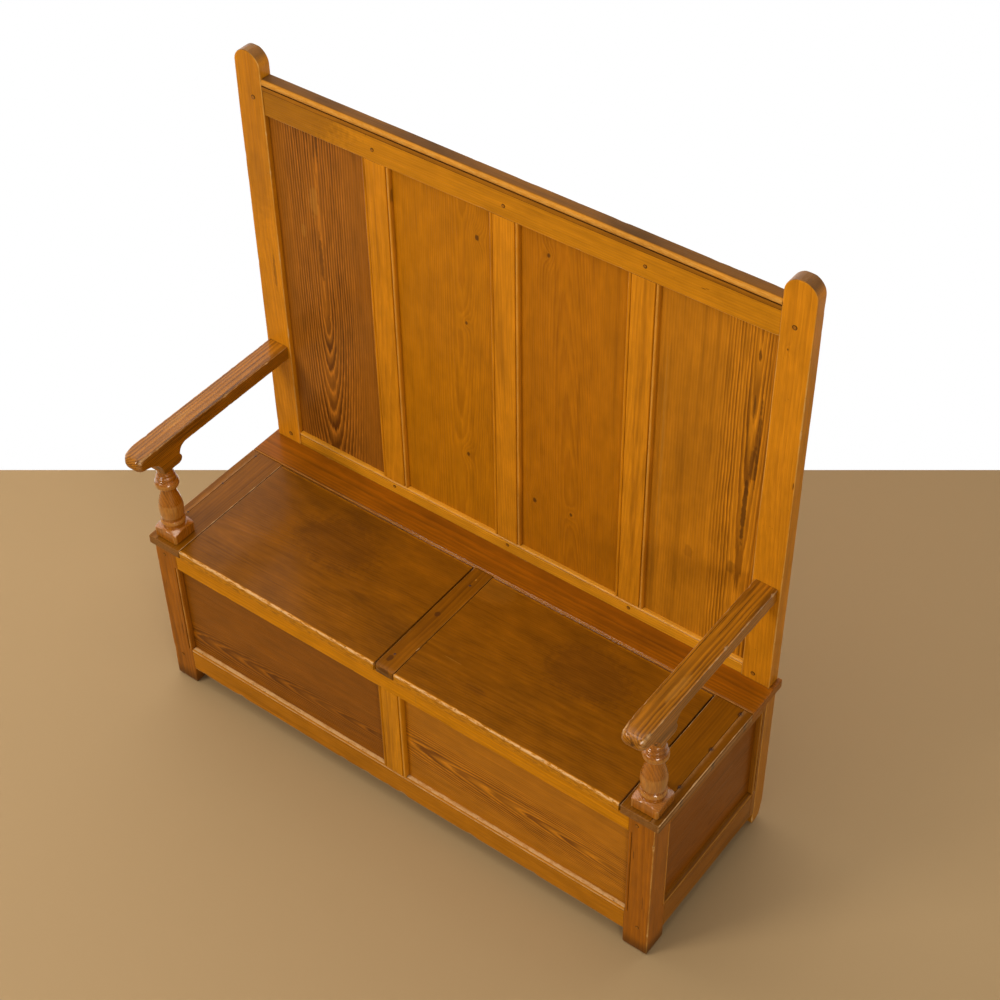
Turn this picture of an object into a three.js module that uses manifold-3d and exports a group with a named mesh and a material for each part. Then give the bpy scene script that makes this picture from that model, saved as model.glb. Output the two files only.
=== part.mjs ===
// A pine box settle: a panelled back between two round-topped posts, a panelled storage base with two lifting
// lids, and flat arms carried on turned supports.
// Millimetres, X to the right as seen from the front, Y to the back, Z up.
// The origin is on the floor, in the middle of the settle's length and depth.
// Left and right in the names are as seen from the front.
import * as THREE from "three";
import { mergeVertices } from "three/addons/utils/BufferGeometryUtils.js";
import Module from "manifold-3d";

const wasm = await Module();
wasm.setup();

// Driving dimensions of the whole settle
const baseWidth = 1260;
const baseDepth = 433;
const seatHeight = 434;
const backHeight = 1410;

// Fits shared by all joints
const fit = 0.3;
const overrun = 4;
const circleSteps = 32;
const quarterSteps = 6;

// Framing timber
const frameThickness = 26;
const panelThickness = 10;
const panelRecess = 12;
const grooveDepth = 8;
const tenonLength = 28;
const tenonShoulder = 8;
const beadRadius = 3.5;
const quirkWidth = 1.5;

// Posts and front legs
const postWidth = 63.5;
const postThickness = 35;
const legSize = 57;
const heelHeight = 52;
const heelCut = 8;
const heelToeHeight = 9;
const heelToeCut = 24;

// Back frame
const railSetback = 5;
const topRailHeight = 75;
const postRise = 42;
const crestHeight = 15;
const crestOverhang = 11;
const crestFall = 2.5;
const backRailReveal = 32;
const backRailHeight = 66;
const muntinWidth = 65;
const leftMuntinCentre = -298;
const middleMuntinCentre = -2;
const rightMuntinCentre = 298;

// Base frame
const frontTopRailHeight = 45;
const frontBottomRailUnderside = 48;
const frontBottomRailHeight = 63;
const frontMuntinWidth = 58;
const sideRailUnderside = 36;
const sideRailHeight = 80;
const sideTopRailHeight = 37;
const sideTenonLength = 10;
const sidePanelRecess = 11;
const sideBoardThickness = 14;
const sideBoardJointHeight = 265;
const sideStileWidth = 16;
const boxBackRailHeight = 60;
const boxBackJointHeight = 250;

// Box floor
const floorThickness = 12;
const floorTop = 84;
const floorBoardCount = 3;
const cleatHeight = 20;
const cleatWidth = 20;

// Seat boards
const boardThickness = 22;
const sideOverhang = 10;
const frontOverhang = 5;
const lidDepth = 327.5;
const endBoardSight = 75;
const endBoardInset = endBoardSight + sideOverhang;
const centreBoardWidth = 46;
const centreBoardShift = -5;
const bearerHeight = 38;
const bearerWidth = 68;
const rearBearerWidth = 28;
const rearBearerInset = 6;
const frontArrisRadius = 8;
const edgeArrisRadius = 6;
const edgeQuirkInset = 20;
const edgeQuirkDepth = 1.4;

// Lids
const lidGap = 1.3;
const lidOpenGap = 3.6;
const hingeGap = 0.8;
const hingeRadius = 5;
const lidLowerArris = 2;
const pinRadius = 2.5;
const pinFit = 0.1;
const pinLength = 26;
const battenWidth = 42;
const battenThickness = 18;
const battenLength = 236;
const battenInset = 70;
const battenSetback = 38;

// Arms
const armHeight = 707;
const armThickness = 33;
const armWidth = 49;
const armInset = 7;
const armReach = 53;
const armCornerRadius = 14;
const armBlockDrop = 44;
const armBlockFront = 12;
const armBlockBack = 66;
const armCoveRadius = 42;
const armBulgeRadius = 12;
const armStepRadius = 22;
const armTenonWidth = 24;
const armTenonHeight = 20;

// Turned arm supports
const supportBlock = 60;
const supportMargin = 10.5;
const supportTenonRadius = 9;
const supportTenonDepth = 42;
const supportTopTenon = 14;
const supportBlockHeight = 30;
const supportFootRadius = 43;

// Outline of the turned stem, from the square block up to the arm: radius as a share of half the block's
// side, height as a share of the support's height.
const stemShares = [
  [0.82, 0.155], [0.82, 0.2], [0.875, 0.208], [0.885, 0.222], [0.85, 0.236], [0.845, 0.246], [0.8, 0.256],
  [0.795, 0.262], [0.84, 0.305], [0.872, 0.37], [0.855, 0.435], [0.77, 0.51], [0.65, 0.575], [0.545, 0.63],
  [0.506, 0.67], [0.52, 0.692], [0.6, 0.697], [0.75, 0.705], [0.832, 0.727], [0.848, 0.75], [0.832, 0.773],
  [0.75, 0.796], [0.685, 0.801], [0.685, 0.813], [0.64, 0.817], [0.69, 0.828], [0.69, 0.848], [0.63, 0.858],
  [0.55, 0.867], [0.592, 0.88], [0.592, 0.898], [0.545, 0.91], [0.53, 0.935], [0.565, 0.978], [0.615, 1],
];

// Outline of the shoulder that the turning leaves on the block: shares of the foot radius and block height.
const shoulderShares = [[1, 0], [1, 0.55], [0.965, 0.68], [0.86, 0.8], [0.73, 0.9], [0.62, 1]];

// Heights and planes that follow from the sizes above
const halfBase = baseWidth / 2;
const seatUnderside = seatHeight - boardThickness;
const frameTop = seatUnderside - fit;
const postFace = baseDepth - postThickness;
const postInner = halfBase - postWidth;
const railFace = postFace + railSetback;
const railBack = railFace + frameThickness;
const legInner = halfBase - legSize;
const topRailTop = backHeight - postRise - crestHeight;
const topRailUnderside = topRailTop - topRailHeight;
const backRailTop = seatHeight + backRailReveal;
const backRailUnderside = backRailTop - backRailHeight;
const frontTopRailUnderside = frameTop - frontTopRailHeight;
const frontBottomRailTop = frontBottomRailUnderside + frontBottomRailHeight;
const sideInner = halfBase - frameThickness;
const sideRailTop = sideRailUnderside + sideRailHeight;
const sideTopRailUnderside = frameTop - sideTopRailHeight;
const sideStileFront = postFace - sideStileWidth;
const boxBackRailTop = sideRailUnderside + boxBackRailHeight;
const lidRear = lidDepth - frontOverhang;
const hingeHeight = seatHeight - hingeRadius;
const hingeDepth = lidRear - hingeRadius;
const rearBoardFront = lidRear + hingeGap;
const endBoardInner = halfBase + sideOverhang - endBoardInset;
const armUnderside = armHeight - armThickness;
const armBlockUnderside = armHeight - armThickness - armBlockDrop;
const armCentre = halfBase - armInset - armWidth / 2;
const supportCentreX = halfBase + sideOverhang - supportMargin - supportBlock / 2;
const supportCentreY = supportMargin + supportBlock / 2 - frontOverhang;
const supportHeight = armBlockUnderside - fit - seatHeight - fit;
const middleDepth = (baseDepth - armReach) / 2;

const along = {
  x: new THREE.Vector3(1, 0, 0),
  y: new THREE.Vector3(0, 1, 0),
  z: new THREE.Vector3(0, 0, 1),
};

// A closed three.js geometry as a solid for joining and cutting
function solid(geometry) {
  const bare = geometry.clone();
  bare.deleteAttribute("normal");
  bare.deleteAttribute("uv");
  const merged = mergeVertices(bare);
  const corners = merged.index.array;
  const kept = [];
  for (let i = 0; i < corners.length; i += 3) {
    const [a, b, c] = [corners[i], corners[i + 1], corners[i + 2]];
    if (a !== b && b !== c && c !== a) kept.push(a, b, c);
  }
  return new wasm.Manifold(
    new wasm.Mesh({
      numProp: 3,
      vertProperties: merged.attributes.position.array,
      triVerts: new Uint32Array(kept),
    }),
  );
}

// A finished solid as a three.js geometry
function geometryOf(body) {
  const made = body.getMesh();
  const geometry = new THREE.BufferGeometry();
  geometry.setAttribute("position", new THREE.BufferAttribute(new Float32Array(made.vertProperties), 3));
  geometry.setIndex(new THREE.BufferAttribute(new Uint32Array(made.triVerts), 1));
  const flat = geometry.toNonIndexed();
  flat.computeVertexNormals();
  return flat;
}

// A square-edged block between two corners
function block([x0, y0, z0], [x1, y1, z1]) {
  const box = new THREE.BoxGeometry(x1 - x0, y1 - y0, z1 - z0);
  box.translate((x0 + x1) / 2, (y0 + y1) / 2, (z0 + z1) / 2);
  return solid(box);
}

// An outline drawn on the plane square to an axis and carried along it from one place to another
function extrusion(points, axis, start, end) {
  const shape = new THREE.Shape(points.map(([a, b]) => new THREE.Vector2(a, b)));
  const geometry = new THREE.ExtrudeGeometry(shape, { depth: end - start, bevelEnabled: false });
  const turn = new THREE.Matrix4();
  if (axis === "x") {
    turn.makeBasis(along.y, along.z, along.x).setPosition(start, 0, 0);
  } else if (axis === "y") {
    turn.makeBasis(along.x, along.z, along.y.clone().negate()).setPosition(0, end, 0);
  } else {
    turn.setPosition(0, 0, start);
  }
  return solid(geometry.applyMatrix4(turn));
}

// Points on an arc, first and last included, angles in degrees
function arc(centreA, centreB, radius, from, to, steps) {
  const points = [];
  for (let i = 0; i <= steps; i++) {
    const angle = THREE.MathUtils.degToRad(from + ((to - from) * i) / steps);
    points.push([centreA + radius * Math.cos(angle), centreB + radius * Math.sin(angle)]);
  }
  return points;
}

// A cutter that runs along an edge: its outline is measured into the face and down into the depth
function edgeCutter(outline, from, to, intoFace, intoDepth) {
  const run = new THREE.Vector3().crossVectors(intoFace, intoDepth);
  const forward = run.dot(new THREE.Vector3().subVectors(to, from)) > 0;
  const start = forward ? from : to;
  const shape = new THREE.Shape(outline.map(([a, b]) => new THREE.Vector2(a, b)));
  const geometry = new THREE.ExtrudeGeometry(shape, { depth: from.distanceTo(to), bevelEnabled: false });
  const turn = new THREE.Matrix4().makeBasis(intoFace, intoDepth, run).setPosition(start);
  return solid(geometry.applyMatrix4(turn));
}

// What a beading plane takes off an edge: a small round with a quirk beside it
function beadOutline() {
  const far = 2 * beadRadius + quirkWidth;
  return [
    [-overrun, beadRadius],
    ...arc(beadRadius, beadRadius, beadRadius, 180, 360, 2 * quarterSteps),
    [far, beadRadius],
    [far, -overrun],
    [-overrun, -overrun],
  ];
}

// What a plane takes off when it rounds an arris
function arrisOutline(radius) {
  return [
    [-overrun, radius],
    ...arc(radius, radius, radius, 180, 270, quarterSteps),
    [radius, -overrun],
    [-overrun, -overrun],
  ];
}

const point = (x, y, z) => new THREE.Vector3(x, y, z);
const back = along.y;
const front = along.y.clone().negate();
const up = along.z;
const down = along.z.clone().negate();
const outward = along.x;
const inward = along.x.clone().negate();

// A round bar or hole on an axis
function round(radius, axis, [x, y, z], length) {
  const bar = new THREE.CylinderGeometry(radius, radius, length, circleSteps);
  if (axis === "x") bar.rotateZ(Math.PI / 2);
  if (axis === "z") bar.rotateX(Math.PI / 2);
  bar.translate(x, y, z);
  return solid(bar);
}

// A solid of revolution about the vertical, from radius and height pairs that start and end on the axis
function turned(points, [x, y, z]) {
  const lathe = new THREE.LatheGeometry(
    points.map(([r, h]) => new THREE.Vector2(r, h)),
    circleSteps,
  );
  lathe.rotateX(Math.PI / 2);
  lathe.translate(x, y, z);
  return solid(lathe);
}

const all = (bodies) => bodies.reduce((sum, body) => sum.add(body));

// Colours of the waxed pine, from pale ochre frame to dark worn feet
const ochre = 0xb3782c;
const honey = 0xc08436;
const seatBrown = 0x8a5a22;
const armBrown = 0x9a6430;
const shadeBrown = 0x6f451d;
const panelBrown = 0x9c5f27;
const ironGrey = 0x4a4540;

const settle = new THREE.Group();
settle.position.y = -middleDepth;

function add(parent, name, body, colour, roughness = 0.5, metalness = 0) {
  const finish = new THREE.MeshStandardMaterial({ color: colour, roughness, metalness });
  const mesh = new THREE.Mesh(geometryOf(body), finish);
  mesh.name = name;
  parent.add(mesh);
  return mesh;
}

// A piece and its mirror image across the middle of the settle
function addPair(parent, name, body, colour, roughness) {
  add(parent, name + "_right", body, colour, roughness);
  add(parent, name + "_left", body, colour, roughness).scale.x = -1;
}

// Tenon and groove places shared by the back and the front
const backPanelFront = railFace + panelRecess;
const backPanelBack = backPanelFront + panelThickness;
const frontPanelFront = panelRecess;
const frontPanelBack = frontPanelFront + panelThickness;
const sideBoardOuter = halfBase - sidePanelRecess;
const sideBoardInner = sideBoardOuter - sideBoardThickness;

// The space a tenon or a board edge needs, with the fit all round
function pocket([x0, y0, z0], [x1, y1, z1]) {
  return block([x0 - fit, y0 - fit, z0 - fit], [x1 + fit, y1 + fit, z1 + fit]);
}

// Back posts: floor to top in one length, round-topped, grooved for the panels and mortised for the rails
function backPost() {
  const centre = halfBase - postWidth / 2;
  const springing = backHeight - postWidth / 2;
  const outline = [
    [postInner, 0],
    [halfBase, 0],
    ...arc(centre, springing, postWidth / 2, 0, 180, circleSteps / 2),
  ];
  const heel = [
    [baseDepth + overrun, -overrun],
    [baseDepth + overrun, heelHeight],
    [baseDepth, heelHeight],
    [baseDepth - heelCut, heelToeHeight],
    [baseDepth - heelToeCut, 0],
    [baseDepth - heelToeCut, -overrun],
  ];
  const grooveFloor = postInner + grooveDepth;
  const mortiseFloor = postInner + tenonLength;
  const opened = postInner - overrun;
  const cuts = [
    extrusion(heel, "x", postInner - overrun, halfBase + overrun),
    pocket(
      [opened, backPanelFront, sideRailUnderside + tenonShoulder],
      [grooveFloor, backPanelBack, topRailTop - tenonShoulder],
    ),
    pocket(
      [opened, backPanelFront, topRailUnderside + tenonShoulder],
      [mortiseFloor, backPanelBack, topRailTop - tenonShoulder],
    ),
    pocket(
      [opened, backPanelFront, backRailUnderside + tenonShoulder],
      [mortiseFloor, backPanelBack, backRailTop - tenonShoulder],
    ),
    pocket(
      [opened, backPanelFront, sideRailUnderside + tenonShoulder],
      [mortiseFloor, backPanelBack, boxBackRailTop - tenonShoulder],
    ),
    pocket(
      [armCentre - armTenonWidth / 2, postFace - overrun, armUnderside + (armThickness - armTenonHeight) / 2],
      [
        armCentre + armTenonWidth / 2,
        postFace + tenonLength,
        armUnderside + (armThickness + armTenonHeight) / 2,
      ],
    ),
  ];
  return extrusion(outline, "y", postFace, baseDepth).subtract(all(cuts));
}
addPair(settle, "back_post", backPost(), honey, 0.45);

// Front legs: square, grooved for the front panels and the side boards, with a bead beside each panel
function frontLeg() {
  const frontMortise = legInner + tenonLength;
  const sideMortise = legSize - sideTenonLength;
  const openedX = legInner - overrun;
  const openedY = legSize + overrun;
  const cuts = [
    pocket(
      [openedX, frontPanelFront, frontBottomRailUnderside + tenonShoulder],
      [legInner + grooveDepth, frontPanelBack, frameTop - tenonShoulder],
    ),
    pocket(
      [openedX, frontPanelFront, frontTopRailUnderside + tenonShoulder],
      [frontMortise, frontPanelBack, frameTop - tenonShoulder],
    ),
    pocket(
      [openedX, frontPanelFront, frontBottomRailUnderside + tenonShoulder],
      [frontMortise, frontPanelBack, frontBottomRailTop - tenonShoulder],
    ),
    pocket(
      [sideBoardInner, sideMortise, sideRailUnderside + tenonShoulder],
      [sideBoardOuter, openedY, sideRailTop - tenonShoulder],
    ),
    pocket(
      [sideBoardInner, sideMortise, sideTopRailUnderside + tenonShoulder],
      [sideBoardOuter, openedY, frameTop - tenonShoulder],
    ),
    pocket(
      [sideBoardInner, legSize - grooveDepth, sideRailUnderside + tenonShoulder],
      [sideBoardOuter, openedY, frameTop - tenonShoulder],
    ),
    round(
      supportTenonRadius + fit,
      "z",
      [supportCentreX, supportCentreY, seatHeight - supportTenonDepth / 2],
      supportTenonDepth + fit + fit,
    ),
    edgeCutter(
      beadOutline(),
      point(legInner, 0, frontBottomRailTop),
      point(legInner, 0, frontTopRailUnderside),
      outward,
      back,
    ),
    edgeCutter(
      beadOutline(),
      point(halfBase, legSize, sideRailTop),
      point(halfBase, legSize, sideTopRailUnderside),
      front,
      inward,
    ),
  ];
  return block([legInner, 0, 0], [halfBase, legSize, frameTop]).subtract(all(cuts));
}
addPair(settle, "front_leg", frontLeg(), ochre, 0.45);

// A rail of the back: tenoned at both ends, grooved on the edges that hold panels
function backRail(underside, top, groovedAbove, groovedBelow) {
  const shoulder = postInner - fit;
  const tip = postInner + tenonLength;
  const body = block([-shoulder, railFace, underside], [shoulder, railBack, top]);
  const tenon = block(
    [-tip, backPanelFront, underside + tenonShoulder],
    [tip, backPanelBack, top - tenonShoulder],
  );
  const cuts = [];
  if (groovedAbove) {
    cuts.push(
      pocket([-shoulder - overrun, backPanelFront, top - grooveDepth], [
        shoulder + overrun,
        backPanelBack,
        top + overrun,
      ]),
    );
  }
  if (groovedBelow) {
    cuts.push(
      pocket([-shoulder - overrun, backPanelFront, underside - overrun], [
        shoulder + overrun,
        backPanelBack,
        underside + grooveDepth,
      ]),
    );
  }
  return body.subtract(all(cuts)).add(tenon.subtract(all(cuts)));
}

const backFrame = new THREE.Group();
settle.add(backFrame);

add(backFrame, "top_rail", backRail(topRailUnderside, topRailTop, false, true), honey);

const backBottomRail = backRail(backRailUnderside, backRailTop, true, true).subtract(
  edgeCutter(
    beadOutline(),
    point(-postInner - overrun, railFace, backRailTop),
    point(postInner + overrun, railFace, backRailTop),
    down,
    back,
  ),
);
add(backFrame, "back_bottom_rail", backBottomRail, honey);

add(backFrame, "box_back_rail", backRail(sideRailUnderside, boxBackRailTop, true, false), shadeBrown, 0.7);

// Crest moulding: a half-round nose planted on the top rail between the posts
function crestMoulding() {
  const underside = topRailTop + fit;
  const nose = crestHeight / 2;
  const outline = [
    [railBack, underside],
    [railBack, underside + crestHeight - crestFall],
    ...arc(railFace - crestOverhang + nose, underside + nose, nose, 90, 270, 2 * quarterSteps),
  ];
  return extrusion(outline, "x", -postInner + fit, postInner - fit);
}
add(backFrame, "crest_moulding", crestMoulding(), ochre);

// Muntins of the back: stub-tenoned into the rails, beaded on both edges
const muntinCentres = [leftMuntinCentre, middleMuntinCentre, rightMuntinCentre];

function muntin(centre, width, face, panelFront, underside, top) {
  const left = centre - width / 2;
  const right = centre + width / 2;
  const panelBack = panelFront + panelThickness;
  const low = underside + fit;
  const high = top - fit;
  const body = block([left, face, low], [right, face + frameThickness, high]);
  const stub = block([left, panelFront, underside - grooveDepth], [right, panelBack, top + grooveDepth]);
  const grooves = [
    pocket([left - overrun, panelFront, underside - tenonLength], [
      left + grooveDepth,
      panelBack,
      top + tenonLength,
    ]),
    pocket([right - grooveDepth, panelFront, underside - tenonLength], [
      right + overrun,
      panelBack,
      top + tenonLength,
    ]),
  ];
  const beads = [
    edgeCutter(beadOutline(), point(left, face, low - overrun), point(left, face, high + overrun), outward, back),
    edgeCutter(beadOutline(), point(right, face, low - overrun), point(right, face, high + overrun), inward, back),
  ];
  return body.add(stub).subtract(all([...grooves, ...beads]));
}
muntinCentres.forEach((centre, i) => {
  const piece = muntin(centre, muntinWidth, railFace, backPanelFront, backRailTop, topRailUnderside);
  add(backFrame, "back_muntin_" + (i + 1), piece, honey);
});

// Back panels: one upright board in each bay, loose in its grooves
const bayEdges = [-postInner, ...muntinCentres, postInner];
for (let i = 0; i < bayEdges.length - 1; i++) {
  const fromPost = i === 0;
  const toPost = i === bayEdges.length - 2;
  const left = bayEdges[i] + (fromPost ? -grooveDepth : muntinWidth / 2 - grooveDepth);
  const right = bayEdges[i + 1] + (toPost ? grooveDepth : grooveDepth - muntinWidth / 2);
  const panel = block(
    [left, backPanelFront, backRailTop - grooveDepth],
    [right, backPanelBack, topRailUnderside + grooveDepth],
  );
  add(backFrame, "back_panel_" + (i + 1), panel, panelBrown, 0.4);
}

// Boards that close the back of the box, in the grooves of the posts
const base = new THREE.Group();
settle.add(base);
const boxBackEdge = postInner + grooveDepth;
const boxBackHeights = [boxBackRailTop - grooveDepth, boxBackJointHeight, backRailUnderside + grooveDepth];
["lower", "upper"].forEach((name, i) => {
  const raised = i === 0 ? 0 : fit;
  const board = block(
    [-boxBackEdge, backPanelFront, boxBackHeights[i] + raised],
    [boxBackEdge, backPanelBack, boxBackHeights[i + 1]],
  );
  add(base, "box_back_board_" + name, board, shadeBrown, 0.7);
});

// Front frame of the base
function frontRail(underside, top, groovedAbove) {
  const shoulder = legInner - fit;
  const tip = legInner + tenonLength;
  const body = block([-shoulder, 0, underside], [shoulder, frameThickness, top]);
  const tenon = block(
    [-tip, frontPanelFront, underside + tenonShoulder],
    [tip, frontPanelBack, top - tenonShoulder],
  );
  const grooveLow = groovedAbove ? top - grooveDepth : underside - overrun;
  const grooveHigh = groovedAbove ? top + overrun : underside + grooveDepth;
  const groove = pocket(
    [-shoulder - overrun, frontPanelFront, grooveLow],
    [shoulder + overrun, frontPanelBack, grooveHigh],
  );
  return body.add(tenon).subtract(groove);
}
add(base, "front_top_rail", frontRail(frontTopRailUnderside, frameTop, false), ochre);

const frontBottomRail = frontRail(frontBottomRailUnderside, frontBottomRailTop, true).subtract(
  edgeCutter(
    beadOutline(),
    point(-legInner - overrun, 0, frontBottomRailTop),
    point(legInner + overrun, 0, frontBottomRailTop),
    down,
    back,
  ),
);
add(base, "front_bottom_rail", frontBottomRail, ochre);

const frontMuntin = muntin(
  0,
  frontMuntinWidth,
  0,
  frontPanelFront,
  frontBottomRailTop,
  frontTopRailUnderside,
);
add(base, "front_muntin", frontMuntin, ochre);

const frontPanel = block(
  [frontMuntinWidth / 2 - grooveDepth, frontPanelFront, frontBottomRailTop - grooveDepth],
  [legInner + grooveDepth, frontPanelBack, frontTopRailUnderside + grooveDepth],
);
addPair(base, "front_panel", frontPanel, panelBrown, 0.4);

// Sides of the base: a beaded bottom rail, a plain top rail, two boards between them, and a narrow stile
// against the post
function sideRail(underside, top, grooveLow, grooveHigh) {
  const body = block([sideInner, legSize + fit, underside], [halfBase, sideStileFront - fit, top]);
  const tenon = block(
    [sideBoardInner, legSize - sideTenonLength, underside + tenonShoulder],
    [sideBoardOuter, sideStileFront + grooveDepth, top - tenonShoulder],
  );
  const groove = pocket(
    [sideBoardInner, legSize - sideTenonLength - overrun, grooveLow],
    [sideBoardOuter, sideStileFront + grooveDepth + overrun, grooveHigh],
  );
  return body.add(tenon).subtract(groove);
}

const sideBottomRail = sideRail(
  sideRailUnderside,
  sideRailTop,
  sideRailTop - grooveDepth,
  sideRailTop + overrun,
).subtract(
  edgeCutter(
    beadOutline(),
    point(halfBase, legSize - overrun, sideRailTop),
    point(halfBase, sideStileFront + overrun, sideRailTop),
    down,
    inward,
  ),
);
addPair(base, "side_bottom_rail", sideBottomRail, ochre, 0.5);

const sideTopRail = sideRail(
  sideTopRailUnderside,
  frameTop,
  sideTopRailUnderside - overrun,
  sideTopRailUnderside + grooveDepth,
);
addPair(base, "side_top_rail", sideTopRail, ochre, 0.5);

function sideRearStile() {
  const body = block([sideInner, sideStileFront, sideRailUnderside], [halfBase, postFace - fit, frameTop]);
  const groove = pocket(
    [sideBoardInner, sideStileFront - overrun, sideRailUnderside + tenonShoulder],
    [sideBoardOuter, sideStileFront + grooveDepth, frameTop - tenonShoulder],
  );
  const bead = edgeCutter(
    beadOutline(),
    point(halfBase, sideStileFront, sideRailTop),
    point(halfBase, sideStileFront, sideTopRailUnderside),
    back,
    inward,
  );
  return body.subtract(all([groove, bead]));
}
addPair(base, "side_rear_stile", sideRearStile(), ochre, 0.5);

const sideBoardHeights = [
  sideRailTop - grooveDepth,
  sideBoardJointHeight,
  sideTopRailUnderside + grooveDepth,
];
["lower", "upper"].forEach((name, i) => {
  const raised = i === 0 ? 0 : fit;
  const board = block(
    [sideBoardInner, legSize - grooveDepth, sideBoardHeights[i] + raised],
    [sideBoardOuter, sideStileFront + grooveDepth, sideBoardHeights[i + 1]],
  );
  addPair(base, "side_board_" + name, board, shadeBrown, 0.5);
});

// Floor of the box: loose boards on two cleats
const floorUnderside = floorTop - floorThickness;
const floorFront = frameThickness + fit;
const floorBack = railFace - fit;
const floorReach = sideInner - fit;
const floorBoardDepth = (floorBack - floorFront - fit * (floorBoardCount - 1)) / floorBoardCount;
const cornerPosts = all([
  pocket([legInner, 0, 0], [halfBase, legSize, frameTop]),
  pocket([-halfBase, 0, 0], [-legInner, legSize, frameTop]),
  pocket([postInner, postFace, 0], [halfBase, baseDepth, frameTop]),
  pocket([-halfBase, postFace, 0], [-postInner, baseDepth, frameTop]),
]);
for (let i = 0; i < floorBoardCount; i++) {
  const start = floorFront + i * (floorBoardDepth + fit);
  const board = block([-floorReach, start, floorUnderside], [floorReach, start + floorBoardDepth, floorTop]);
  add(base, "box_floor_board_" + (i + 1), board.subtract(cornerPosts), shadeBrown, 0.8);
}
const cleatReach = postInner - fit;
const cleatTop = floorUnderside - fit;
const cleatUnderside = cleatTop - cleatHeight;
const frontCleat = block(
  [-cleatReach, floorFront, cleatUnderside],
  [cleatReach, floorFront + cleatWidth, cleatTop],
);
add(base, "floor_cleat_front", frontCleat, shadeBrown, 0.8);
const rearCleat = block([-cleatReach, floorBack - cleatWidth, cleatUnderside], [cleatReach, floorBack, cleatTop]);
add(base, "floor_cleat_rear", rearCleat, shadeBrown, 0.8);

// Bearers under the seat boards
const centreBoardLeft = centreBoardShift - centreBoardWidth / 2;
const centreBoardRight = centreBoardShift + centreBoardWidth / 2;
const bearerUnderside = frameTop - bearerHeight;
const rearBearerFront = rearBoardFront + rearBearerInset;
const rearBearer = block(
  [-sideInner + fit, rearBearerFront, bearerUnderside],
  [sideInner - fit, rearBearerFront + rearBearerWidth, frameTop],
);
add(base, "rear_bearer", rearBearer, shadeBrown, 0.7);
const centreBearer = block(
  [centreBoardShift - bearerWidth / 2, frameThickness + fit, bearerUnderside],
  [centreBoardShift + bearerWidth / 2, rearBearerFront - fit, frameTop],
);
add(base, "centre_bearer", centreBearer, shadeBrown, 0.7);

// Seat boards round the lids
const seat = new THREE.Group();
settle.add(seat);
const boardEdge = halfBase + sideOverhang;

// The worn, quirked edge along the ends of the seat
function endEdgeCutters(from, to) {
  const quirk = [
    [edgeQuirkInset, -overrun],
    [edgeQuirkInset + quirkWidth, -overrun],
    [edgeQuirkInset + quirkWidth, 0],
    [edgeQuirkInset + quirkWidth / 2, edgeQuirkDepth],
    [edgeQuirkInset, 0],
  ];
  const edges = [];
  for (const side of [1, -1]) {
    const into = side > 0 ? inward : outward;
    const start = point(side * boardEdge, from - overrun, seatHeight);
    const end = point(side * boardEdge, to + overrun, seatHeight);
    edges.push(edgeCutter(arrisOutline(edgeArrisRadius), start, end, into, down));
    edges.push(edgeCutter(quirk, start, end, into, down));
  }
  return edges;
}

function seatRearBoard() {
  const body = block([-boardEdge, rearBoardFront, seatUnderside], [boardEdge, baseDepth, seatHeight]);
  const notches = [
    block([-halfBase - fit, postFace - fit, 0], [halfBase + fit, baseDepth + overrun, backHeight]),
    edgeCutter(
      beadOutline(),
      point(-boardEdge, rearBoardFront, seatHeight),
      point(boardEdge, rearBoardFront, seatHeight),
      back,
      down,
    ),
    ...endEdgeCutters(rearBoardFront, baseDepth),
  ];
  const tongue = block(
    [-postInner + fit, postFace - overrun, seatUnderside],
    [postInner - fit, railFace - fit, seatHeight],
  );
  return body.subtract(all(notches)).add(tongue);
}
add(seat, "seat_rear_board", seatRearBoard(), seatBrown, 0.35);

// The hole for a lid pin, through the hinge line
function pinHole(x) {
  return round(pinRadius + pinFit, "x", [x, hingeDepth, hingeHeight], pinLength + fit + fit);
}
const endPinX = endBoardInner - lidGap / 2;
const leftCentrePinX = centreBoardLeft - lidGap / 2;
const rightCentrePinX = centreBoardRight + lidGap / 2;

function frontArris(from, to, radius) {
  return edgeCutter(
    arrisOutline(radius),
    point(from, -frontOverhang, seatHeight),
    point(to, -frontOverhang, seatHeight),
    back,
    down,
  );
}

function seatEndBoard() {
  const body = block([endBoardInner, -frontOverhang, seatUnderside], [boardEdge, rearBoardFront - fit, seatHeight]);
  const cuts = [
    ...endEdgeCutters(-frontOverhang, rearBoardFront),
    frontArris(endBoardInner - overrun, boardEdge + overrun, frontArrisRadius),
    round(
      supportTenonRadius + fit,
      "z",
      [supportCentreX, supportCentreY, seatHeight - supportTenonDepth / 2],
      supportTenonDepth + overrun,
    ),
    pinHole(endPinX),
  ];
  return body.subtract(all(cuts));
}
addPair(seat, "seat_end_board", seatEndBoard(), seatBrown, 0.35);

const centreBoard = block(
  [centreBoardLeft, -frontOverhang, seatUnderside],
  [centreBoardRight, rearBoardFront - fit, seatHeight],
).subtract(
  all([
    frontArris(centreBoardLeft - overrun, centreBoardRight + overrun, frontArrisRadius),
    pinHole(leftCentrePinX),
    pinHole(rightCentrePinX),
  ]),
);
add(seat, "seat_centre_board", centreBoard, seatBrown, 0.35);

// Iron pins that the lids turn on, one at each end of each lid
const pinPlaces = [
  ["hinge_pin_1", -endPinX],
  ["hinge_pin_2", leftCentrePinX],
  ["hinge_pin_3", rightCentrePinX],
  ["hinge_pin_4", endPinX],
];
for (const [name, x] of pinPlaces) {
  add(seat, name, round(pinRadius, "x", [x, hingeDepth, hingeHeight], pinLength), ironGrey, 0.6, 0.8);
}

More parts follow.
